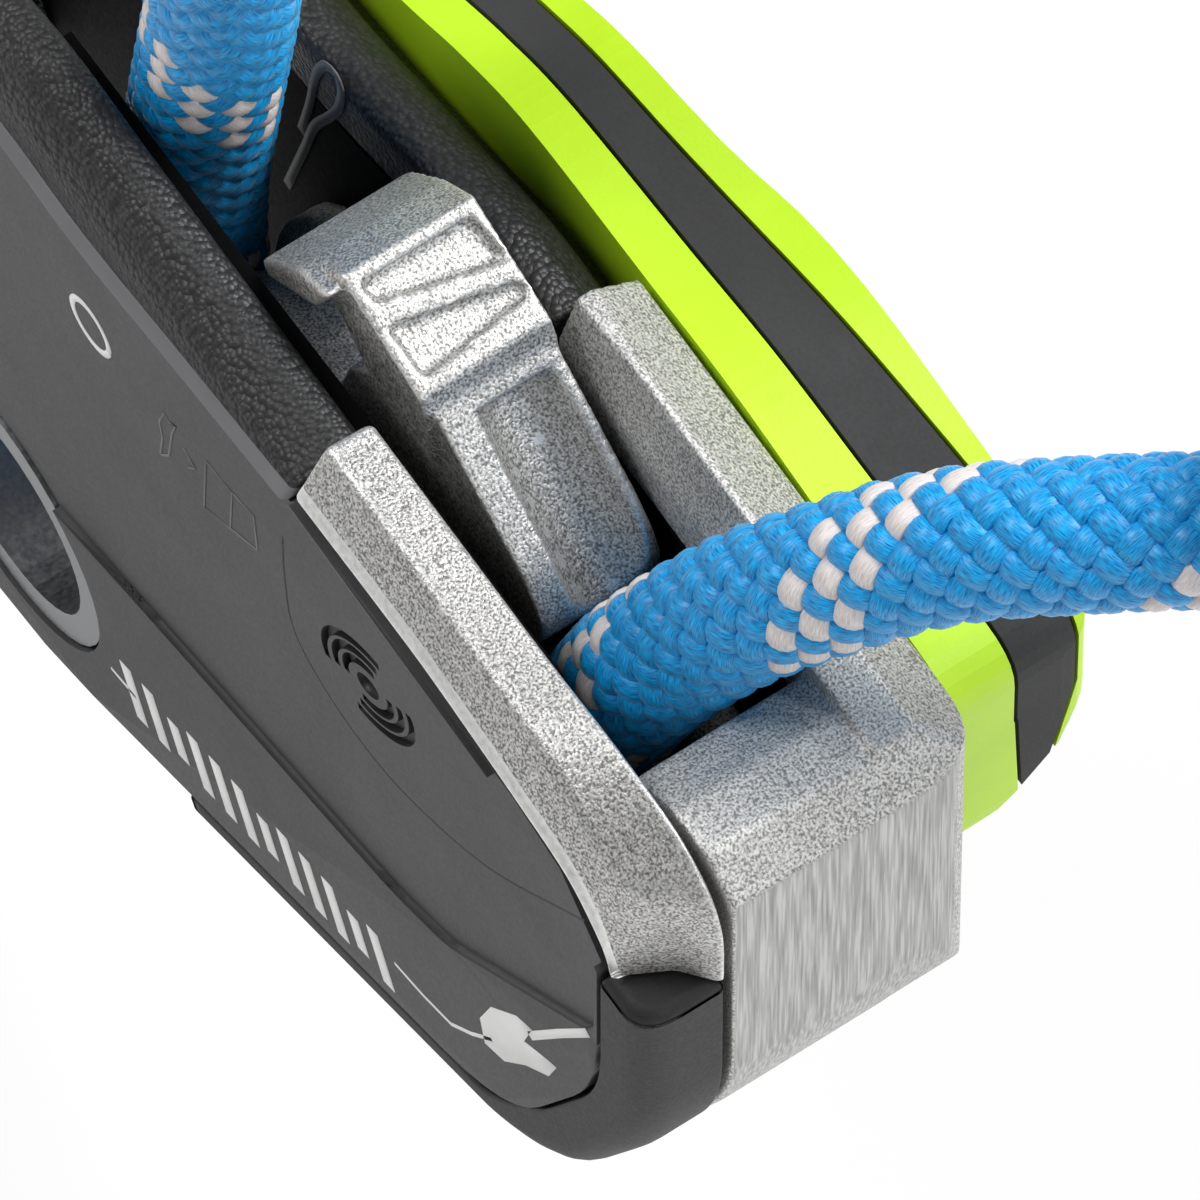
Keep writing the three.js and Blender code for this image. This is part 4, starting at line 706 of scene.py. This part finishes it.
# Brake block and brake cam: the same sintered steel as the rail. The block is screwed to the back side, and
# its end face is ground flat. The cam swings on a bush and pinches the rope against the block.
def dress(name, material):
    """Gives a CAD node its material and smooth shading."""
    node = nodes[name]
    node.data.materials.clear()
    node.data.materials.append(material)
    node.data.polygons.foreach_set("use_smooth", [True] * len(node.data.polygons))
    return node


def soften(node, voxel_mm, rounds):
    """Melts a solid's edges: fine even cells, then smoothed so many times."""
    cells = node.modifiers.new("cells", "REMESH")
    cells.mode = "VOXEL"
    cells.voxel_size = voxel_mm * MM
    cells.use_smooth_shade = True
    melt = node.modifiers.new("melt", "SMOOTH")
    melt.factor = 0.5
    melt.iterations = rounds


# Ground sintered steel: the casting's grain all round, and fine upright scratches on the end face
scratch_width = 0.22 * MM
ground_steel = bpy.data.materials.new("ground_cast_steel")
tree = new_tree(ground_steel)
place = add_node(tree, "TexCoord").outputs["Object"]
facing = add_node(tree, "SeparateXYZ", ("Vector", add_node(tree, "NewGeometry").outputs["Normal"]))
on_end = add_node(tree, "ValToRGB", ("Fac", facing.outputs["X"]), stops=[(0.82, 0.0), (0.95, 1.0)])
drawn_out = add_node(tree, "Mapping", ("Vector", place), ("Scale", (1, 1, 0.03)))
scratches = add_node(tree, "TexNoise", ("Vector", drawn_out), ("Scale", 1 / scratch_width), ("Detail", 2.0))
fine = add_node(tree, "TexNoise", ("Vector", place), ("Scale", 1 / steel_grain), ("Detail", 1.0))
coarse = add_node(tree, "TexNoise", ("Vector", place), ("Scale", 1 / steel_dimple), ("Detail", 2.0))
cast_shades = [(0.34, "#8B8A88"), (0.5, "#C6C5C2"), (0.66, "#E4E3E0")]
skin = add_node(tree, "ValToRGB", ("Fac", fine), stops=cast_shades)
ground_shades = [(0.3, "#8F8F8E"), (0.5, "#ACACAA"), (0.64, "#C4C4C2")]
ground = add_node(tree, "ValToRGB", ("Fac", scratches), stops=ground_shades)
colour = add_node(tree, "MixRGB", ("Fac", on_end), ("Color1", skin), ("Color2", ground))
dull = add_node(tree, "ValToRGB", ("Fac", coarse), stops=[(0.3, 0.53), (0.7, 0.66)])
roughness = add_node(tree, "MixRGB", ("Fac", on_end), ("Color1", dull), ("Color2", (0.44, 0.44, 0.44, 1)))
height = add_node(tree, "MixRGB", ("Fac", on_end), ("Color1", fine), ("Color2", scratches))
bumps = add_node(tree, "Bump", ("Height", height), ("Strength", 1.0), ("Distance", 0.05 * MM))
shader = add_node(
    tree,
    "BsdfPrincipled",
    ("Base Color", colour),
    ("Metallic", 0.8),
    ("Roughness", roughness),
    ("Normal", bumps),
)
add_node(tree, "OutputMaterial", ("Surface", shader))
soften(dress("brake_block", ground_steel), voxel_mm=0.3, rounds=6)
soften(dress("brake_cam", cast_steel), voxel_mm=0.3, rounds=4)

# Edge grips: moulded black polyamide, domed across, with a plain chamfer along the outer edge where the
# mould parts. Each is fitted along its plate's open edge.

# Grained polyamide: leather-like cells that catch the light on their crowns, with a finer mould texture
leather_cell = 0.5 * MM
mould_grain = 0.18 * MM
leather = bpy.data.materials.new("leather_grained_polyamide")
tree = new_tree(leather)
place = add_node(tree, "TexCoord").outputs["Object"]
cells = add_node(tree, "TexVoronoi", ("Vector", place), ("Scale", 1 / leather_cell), feature="F1")
fine = add_node(tree, "TexNoise", ("Vector", place), ("Scale", 1 / mould_grain), ("Detail", 2.0))
# Painted shade: the colour is lighter on the cells' crowns and darker in the hollows between them
colour = add_node(tree, "ValToRGB", ("Fac", cells), stops=[(0.2, "#282829"), (0.7, "#141415")])
dull = add_node(tree, "ValToRGB", ("Fac", fine), stops=[(0.3, 0.42), (0.7, 0.55)])
texture = add_node(tree, "Bump", ("Height", fine), ("Strength", 1.0), ("Distance", 0.02 * MM))
pebbles = add_node(
    tree, "Bump", ("Height", cells), ("Strength", 1.0), ("Distance", -0.16 * MM), ("Normal", texture)
)
shader = add_node(
    tree,
    "BsdfPrincipled",
    ("Base Color", colour),
    ("Roughness", dull),
    ("Normal", pebbles),
    ("IOR", 1.53),
)
add_node(tree, "OutputMaterial", ("Surface", shader))

# Chamfer: a plain mid grey, a painted highlight where the outer chamfer catches the light
lit_chamfer_highlight_grey = moulded(
    "painted_highlight_chamfer", "#77777A", "#6A6A6D", rough=0.5, grain_mm=0.4, depth_mm=0.01
)
# Places across the grip: Y and a share of the rise from the chamfer to the top, then Y and a height over the
# body's edge
grip_top = 0.3
grip_foot_rise = 0.1
chamfer_depth = 0.8
grip_lower = [(1.35, 0.42), (2.3, 0.74)]
grip_upper = [(3.7, 0.42), (5.0, 0.8), (5.9, 0.7), (6.5, 0.1), (side_depth, -1)]
grip_rounds = [0.12, 0.15, 0.5, 0.9, 0.9, 0.5, 0.4, 0.4, 0.3, 0.3]
grip_end_round = 0.6
chamfer_rise = 0.85
chamfer_strips = range(2, 8)


def edge_grip(name, node, body, outer, inwards, stations, chamfer_material):
    """A grip along stations of (X, height of the body's edge, height of its foot)."""
    sections = []
    for x, edge, foot in stations:
        top = edge + grip_top
        low = min(foot + chamfer_rise, top)
        points = [(0, foot), (chamfer_depth, low)]
        points += [(y, low + (top - low) * share) for y, share in grip_lower]
        points += [(y, max(edge + z, foot + grip_foot_rise)) for y, z in grip_upper]
        points.append((side_depth, foot))
        sections.append([(x, outer + inwards * y, z) for y, z in points])
    lines = [list(line) for line in zip(*sections)]
    rings = round_ends(rounded(smooth_lines(lines, 8), grip_rounds), grip_end_round)
    grip = finish_mesh(ring_body(name, rings, leather))
    grip.data.materials.append(chamfer_material)
    strips(grip, rings.shape[1], chamfer_strips, 1)
    mount(grip, body, "black_grip", node)


front_face = 0
back_face = 27.8
front_stations = [
    (-78.8, -17.0, -17.7), (-78.0, -15.6, -17.6), (-76.6, -13.9, -17.1), (-73.4, -11.6, -16.2),
    (-68, -8.9, -14.73), (-49, -3.55, -9.55), (-36, 0, -6), (-26, 0, -6), (-13.3, 0, -4), (-0.7, 0, -2),
]
back_stations = [
    (-78.9, -19.0, -19.8), (-78.0, -17.9, -19.8), (-76.6, -16.1, -19.5), (-73.4, -13.9, -19.1),
    (-66, -12.14, -18.14), (-55.5, -10.75, -16.75), (-31, -7.5, -13.5), (-19.5, -3.75, -9.75),
    (-8, 0, -6), (-0.7, 0, -6),
]
edge_grip(
    "grained_front_grip", "front_edge_roll", "front_side", front_face, 1, front_stations, lit_chamfer_highlight_grey
)
edge_grip(
    "grained_back_grip", "back_edge_roll", "back_side", back_face, -1, back_stations, leather
)

# Front end cap: the moulded rim that wraps the brake end below the rail and runs back under the spine. Its
# outer corner is well rounded, and it grips the plate's edge.

# Matt polyamide: a black that takes only a wide dim highlight
cap_black = moulded(
    "matte_black_polyamide", "#131314", "#0F0F10", rough=0.62, grain_mm=0.3, depth_mm=0.02
)
cap_corners = [(41.5, -9.1, 0), (41.5, -28.8, 7), (31.5, -51.8, 9), (-13, -73.1, 0)]
cap_step = 0.9
cap_depth = 5
cap_thinning = 2.6
thinning_start = 31.5
thinning_run = 8
cap_rounds = [0.4, 3.2, 0.3, 0.3]
cap_end_round = 1.3


def rounded_path(corners, step, per_round=10):
    """A line through corners (x, z, round), rounded as the body's outline is, with even points between."""
    points = []
    for before, here, after in zip([None, *corners], corners, [*corners[1:], None]):
        size = here[2]
        middle = np.array(here[:2], float)
        if before is None or after is None:
            points.append(middle)
            continue
        start, end = [middle + unit(np.array(other[:2]) - middle) * size for other in (before, after)]
        for share in np.linspace(0, 1, per_round):
            points.append((1 - share) ** 2 * start + 2 * share * (1 - share) * middle + share**2 * end)
    return even_steps(np.array([(x, 0, z) for x, z in points]), step)


cap_path = rounded_path(cap_corners, cap_step)
headings = unit(np.gradient(cap_path, axis=0))
cap_rings = []
for point, heading in zip(cap_path, headings):
    inwards = np.array([heading[2], 0, -heading[0]])
    share = min(1, max(0, (thinning_start - point[0]) / thinning_run))
    depth = cap_depth - cap_thinning * share
    section = [(side_depth, 0), (0, 0), (0, depth), (side_depth, depth)]
    cap_rings.append([at(*(point + inwards * reach + np.array([0, y, 0]))) for y, reach in section])
cap_rings = rounded(np.array(cap_rings), cap_rounds, 7)
cap = finish_mesh(ring_body("wrapped_end_cap", round_ends(cap_rings, cap_end_round), cap_black))
mount(cap, "front_side", "dark_panel", "front_end_cap")

# Front panel: moulded in dark grey glass-filled polyamide and screwed to the front plate. A shallow edge
# divides its two facets, and a sign of arcs is engraved in its sunk field.

# Glass-filled polyamide: a dull even dark grey with a fine mould texture
dark_panel = moulded(
    "glass_filled_polyamide", "#404042", "#39393B", rough=0.6, grain_mm=0.3, depth_mm=0.02
)
# Painted shade: the floor of each engraved cut is drawn darker than the panel's skin, as the shade inside
# the narrow cuts
cut_floor_painted_shade = moulded(
    "painted_shade_in_cuts", "#111112", "#0C0C0D", rough=0.5, grain_mm=0.2, depth_mm=0.02
)


def ribbon(places, half_width, front, back, foot_share=0.6):
    """A closed strip on the panel through places (x, z), between two depths, narrower at the back."""
    line = np.array([(x, 0, z) for x, z in places], float)
    ahead = unit(np.gradient(line, axis=0))
    aside = np.stack([ahead[:, 2], 0 * ahead[:, 0], -ahead[:, 0]], axis=1)
    rings = []
    for point, side in zip(line, aside):
        corners = [(1, front), (-1, front), (-foot_share, back), (foot_share, back)]
        rings.append([at(*(point + side * s * half_width + np.array([0, y, 0]))) for s, y in corners])
    return np.array(rings)


def arc(middle, radius, start, end, count=24):
    """Places round a middle, between two angles in degrees."""
    turns = np.radians(np.linspace(start, end, count))
    return [(middle[0] + radius * math.cos(t), middle[1] + radius * math.sin(t)) for t in turns]


def bodies(name, ring_sets, material):
    """Several closed bodies as one piece."""
    made = [ring_body(name, rings, material) for rings in ring_sets]
    joined = bmesh.new()
    for body in made:
        joined.from_mesh(body.data)
    mesh = made[0].data
    joined.to_mesh(mesh)
    joined.free()
    for body in made[1:]:
        bpy.data.objects.remove(body)
    return made[0]


def curved(places, per_span=6):
    """Places (x, z) along the smooth curve through a few of them."""
    curve = smooth_curve([(x, 0, z) for x, z in places], per_span) / MM - np.array(device_zero) / MM
    return [(point[0], point[2]) for point in curve]


sign_middle = np.array((8.3, -15.0))
sign_radii = (3.2, 4.7, 6.2)
dot_radii = (1.6, 1.5)
sign_reach = 7.6
sign_squeeze = 0.66
squeeze_way = np.array((-0.7071, 0.7071))
field_face = 0.6
cut_from, cut_to = 0.2, 1.15


def squeezed(places):
    """Places about the sign's middle, drawn closer together along its short way."""
    made = []
    for place in places:
        away = np.array(place) - sign_middle
        made.append(sign_middle + away - squeeze_way * away.dot(squeeze_way) * (1 - sign_squeeze))
    return made


sign_arcs = [
    squeezed(arc(sign_middle, radius, start, end))
    for radius in sign_radii
    for start, end in ((87, 217), (37, -92))
]
dot_rings = [squeezed(arc(sign_middle, radius, 0, 345)) for radius in dot_radii]
dot = np.array([[at(x, y, z) for x, z in ring] for ring, y in zip(dot_rings, (cut_from, cut_to))])
facet_edge = [
    (-1.8, -9.5), (-1.6, -16), (-0.35, -22.6), (4, -25.2),
    (10, -25.2), (16, -22.6), (22.6, -18), (34.1, -5.6),
]
cutters = [
    ribbon(places, half_width=0.42, front=cut_from, back=cut_to, foot_share=0.8) for places in sign_arcs
]
cutters.append(dot)
cutters.append(ribbon(curved(facet_edge), half_width=0.28, front=0.3, back=0.72, foot_share=0.2))
cutter = bodies("engraving_tool", cutters, dark_panel)
panel_mesh = nodes["front_panel"].data.copy()
panel_mesh.materials.clear()
panel = new_piece("engraved_panel", panel_mesh, dark_panel)
engrave = panel.modifiers.new("engrave", "BOOLEAN")
engrave.operation = "DIFFERENCE"
engrave.solver = "EXACT"
engrave.use_self = True
engrave.object = cutter
bpy.context.view_layer.update()
engraved = bpy.data.meshes.new_from_object(panel.evaluated_get(bpy.context.evaluated_depsgraph_get()))
panel.modifiers.clear()
panel.data = engraved
bpy.data.objects.remove(cutter)
engraved.polygons.foreach_set("use_smooth", [True] * len(engraved.polygons))
engraved.set_sharp_from_angle(angle=math.radians(28))
engraved.materials.clear()
engraved.materials.append(dark_panel)
engraved.materials.append(cut_floor_painted_shade)
# What lies below the field's skin near the sign gets the painted shade of the cuts
sign_place = np.array(at(sign_middle[0], field_face, sign_middle[1]))
below_skin = at(0, field_face + 0.05, 0)[1]
above_plate = at(0, 1.3, 0)[1]
for face in engraved.polygons:
    away = np.array(face.center) - sign_place
    near = math.hypot(away[0], away[2]) < sign_reach * MM
    if near and below_skin < face.center[1] < above_plate:
        face.material_index = 1
finish_mesh(panel)
mount(panel, "front_side", "dark_panel", "front_panel")

# Printed signs: the bars, the rigging sign and the ring are white ink, pressed onto the panel with a pad.
# The faint outlines in its field are marked with a laser, which turns the plastic grey.

# Pad ink: a flat opaque film, a little glossier than the panel. Laser mark: a grey as dull as the panel
white_ink = moulded("white_pad_print", "#F2F2F0", "#E6E6E4", rough=0.5, grain_mm=0.3, depth_mm=0.004)
grey_ink = moulded("laser_grey_mark", "#6B6B6E", "#626265", rough=0.6, grain_mm=0.3, depth_mm=0.004)
ink = {"front": -0.04, "back": 0.02, "foot_share": 1.0}
field_ink = {"front": field_face - 0.05, "back": field_face + 0.02, "foot_share": 1.0}


def line_between(start, end, count=3):
    """Places along a straight line."""
    return [tuple(p) for p in np.linspace(start, end, count)]


bars = []
bar_count = 12
first_bar = (-20, -66.2)
bar_step = (2.75, 1.075)
bar_halves = (2.9, 2.9, 1.9, 2.9)
bar_half_width = 0.72
stem = np.array((-0.36, 0.93))
for i in range(bar_count):
    middle = np.array((first_bar[0] + bar_step[0] * i, first_bar[1] + bar_step[1] * i))
    half = bar_halves[i % len(bar_halves)]
    bars.append(ribbon(line_between(middle - stem * half, middle + stem * half), bar_half_width, **ink))

# How the picture shows the panel: where the device's zero lies in it, and how many pixels across and down it
# each millimetre moves a place, along the body, into it and up
zero_pixel = (289, 500)
pixels_along = (8.512, 11.415)
pixels_into = (12.586, -7.706)
pixels_up = 6.43


def on_panel(*pixels, depth=0):
    """Places on the panel's face from places in the picture."""
    places = []
    for u, v in pixels:
        x = (u - zero_pixel[0] - pixels_into[0] * depth) / pixels_along[0]
        level = zero_pixel[1] + pixels_along[1] * x + pixels_into[1] * depth
        places.append((x, (level - v) / pixels_up))
    return places


tick_pixels = [(95, 671), (108, 686), (121, 701)]
line_pixels = [(391, 971), (420, 1003), (449, 1032), (470, 1041), (491, 1046)]
tail_pixels = [(530, 1040), (560, 1036), (588, 1034)]
white_lines = [
    ribbon(on_panel(*tick_pixels), half_width=0.16, **ink),
    ribbon(on_panel(*line_pixels), half_width=0.16, **ink),
    ribbon(on_panel(*tail_pixels), half_width=0.35, **ink),
]
device_pixels = [
    (479, 1024), (490, 1012), (516, 1020), (532, 1034), (524, 1046), (542, 1060),
    (557, 1072), (549, 1081), (526, 1071), (504, 1068), (484, 1050),
]
device_sign = on_panel(*device_pixels)
ink_faces = (ink["front"], ink["back"])
white_lines.append(np.array([[at(x, y, z) for x, z in device_sign] for y in ink_faces]))
ring_middle = (-24.9, -17.4)
ring_radius = 2.2
ring_places = arc(ring_middle, ring_radius, 0, 355, 40)
ring_sign = ribbon(ring_places, half_width=0.3, **field_ink)
print_white = bodies("white_print", [*bars, *white_lines, ring_sign], white_ink)
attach(print_white, "front_side")
faint_pixels = [
    [
        (155, 452), (158, 436), (155, 420), (160, 411), (165, 420),
        (172, 425), (168, 432), (164, 454), (156, 453),
    ],
    [(180, 447), (192, 468), (184, 466)],
    [(203, 460), (230, 492), (227, 528), (200, 505), (203, 461)],
    [(230, 492), (252, 515), (255, 550), (228, 528)],
]
faint = [on_panel(*pixels, depth=field_face) for pixels in faint_pixels]
outlines = [ribbon(places, half_width=0.1, **field_ink) for places in faint]
print_grey = bodies("grey_outlines", outlines, grey_ink)
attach(print_grey, "front_side")

# Back cover and handle: the cover is moulded in black polyamide and screwed to the back plate. The handle is
# a lime shell of the same plastic with a softer dark inlay let into its top, and the turnlock is lime too.

# Lime polyamide: dyed in the mass, with a satin skin
lime = moulded("lime_polyamide", "#BDE820", "#B6E11B", rough=0.42, grain_mm=0.25, depth_mm=0.012)
# Soft-touch elastomer: a dull, nearly chalky dark grey
inlay_grey = moulded("soft_touch_elastomer", "#323232", "#2A2A2A", rough=0.8, grain_mm=0.3, depth_mm=0.03)


def ease_edges(node, width_mm):
    """Breaks a solid's sharp edges with a narrow bevel."""
    edge = node.modifiers.new("edge", "BEVEL")
    edge.width = width_mm * MM
    edge.segments = 2
    edge.limit_method = "ANGLE"
    edge.angle_limit = math.radians(30)
    edge.harden_normals = True


def round_edges(node, width_mm, segments):
    """Rounds a moulding's edges, after joining the small flats of its broad faces."""
    flats = node.modifiers.new("flats", "DECIMATE")
    flats.decimate_type = "DISSOLVE"
    flats.angle_limit = math.radians(1.5)
    edge = node.modifiers.new("edge", "BEVEL")
    edge.width = width_mm * MM
    edge.segments = segments
    edge.limit_method = "ANGLE"
    edge.angle_limit = math.radians(30)
    finish_mesh(node)


round_edges(dress("handle_shell", lime), width_mm=1.0, segments=4)
round_edges(dress("handle_inlay", inlay_grey), width_mm=0.5, segments=3)
ease_edges(dress("back_cover", cap_black), width_mm=0.4)
ease_edges(dress("catch_turnlock", lime), width_mm=0.3)


# Plates, shafts and fasteners: the plates are cut from aluminium sheet and anodised, as the eyelets are. The
# shafts, screws and rivets are turned steel, and the cam runs on a sintered bronze bush.
def metal(name, light, dark, rough, grain_mm, glancing=1.0):
    """A bare or anodised metal: its colour and its gloss vary a little with the grain of its finish, and a
    dyed film also dims the share of light that it throws back at glancing angles."""
    material = bpy.data.materials.new(name)
    tree = new_tree(material)
    place = add_node(tree, "TexCoord").outputs["Object"]
    fine = add_node(tree, "TexNoise", ("Vector", place), ("Scale", 1 / (grain_mm * MM)), ("Detail", 2.0))
    colour = add_node(tree, "ValToRGB", ("Fac", fine), stops=[(0.35, dark), (0.65, light)])
    dull = add_node(tree, "ValToRGB", ("Fac", fine), stops=[(0.3, rough - 0.04), (0.7, rough + 0.06)])
    waves = add_node(tree, "Bump", ("Height", fine), ("Strength", 1.0), ("Distance", 0.01 * MM))
    shader = add_node(
        tree,
        "BsdfPrincipled",
        ("Base Color", colour),
        ("Metallic", 1.0),
        ("Specular Tint", (glancing, glancing, glancing, 1)),
        ("Roughness", dull),
        ("Normal", waves),
    )
    add_node(tree, "OutputMaterial", ("Surface", shader))
    return material


# Anodised aluminium: the plates' black is partly a dyed film that swallows nearly all light and partly
# painted shade that darkens the device's inside; the natural film is a satin grey
black_film_and_shade = metal(
    "black_film_and_painted_shade_aluminium", "#161617", "#121213", rough=0.69, grain_mm=0.4, glancing=0.75
)
grey_anodised = metal("grey_anodised_aluminium", "#9A9B9D", "#8B8C8E", rough=0.38, grain_mm=0.4)
# Turned steel is bright and smooth, and sintered bronze is a warm brown, duller for its pores
turned_steel = metal("turned_steel", "#C9CACC", "#B4B5B7", rough=0.25, grain_mm=0.5)
sintered_bronze = metal("sintered_bronze", "#B08A4E", "#94703A", rough=0.4, grain_mm=0.4)
for name in ("front_eyelet", "back_eyelet"):
    ease_edges(dress(name, grey_anodised), width_mm=0.2)
# The plates' matt black also stands in as painted shade deep inside the device
for name in ("front_plate", "back_plate"):
    ease_edges(dress(name, black_film_and_shade), width_mm=0.2)
ease_edges(dress("cam_bush", sintered_bronze), width_mm=0.15)
steel_names = """
    rail_rivet_1 rail_rivet_2 panel_screw_1 panel_screw_2 panel_screw_3 block_screw_1 block_screw_2
    block_screw_3 cover_screw_1 cover_screw_2 cover_screw_3 main_axle axle_nut catch_post catch_pin
    catch_washer cam_spring tail_lever release_cam handle_shaft handle_screw
"""
for name in steel_names.split():
    ease_edges(dress(name, turned_steel), width_mm=0.12)

# Loop sign: a loop of rope on the back plate's inner face, which shows how the rope is laid in. It is marked
# in grey, as the faint outlines of the panel are.
plate_inside = 21.2
loop_pixels = [
    (296, 123), (306, 95), (310.5, 74.7), (316, 64), (324, 61.5), (333, 70), (338, 84), (336, 101),
    (327, 110), (310.5, 119), (300, 139), (280, 176),
]
loop_sign = on_panel(*loop_pixels, depth=plate_inside)
mark_from, mark_to = plate_inside - 0.08, plate_inside + 0.05
loop_print = ribbon(curved(loop_sign), half_width=0.4, front=mark_from, back=mark_to, foot_share=1.0)
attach(ring_body("rope_loop_sign", loop_print, grey_ink), "back_side")
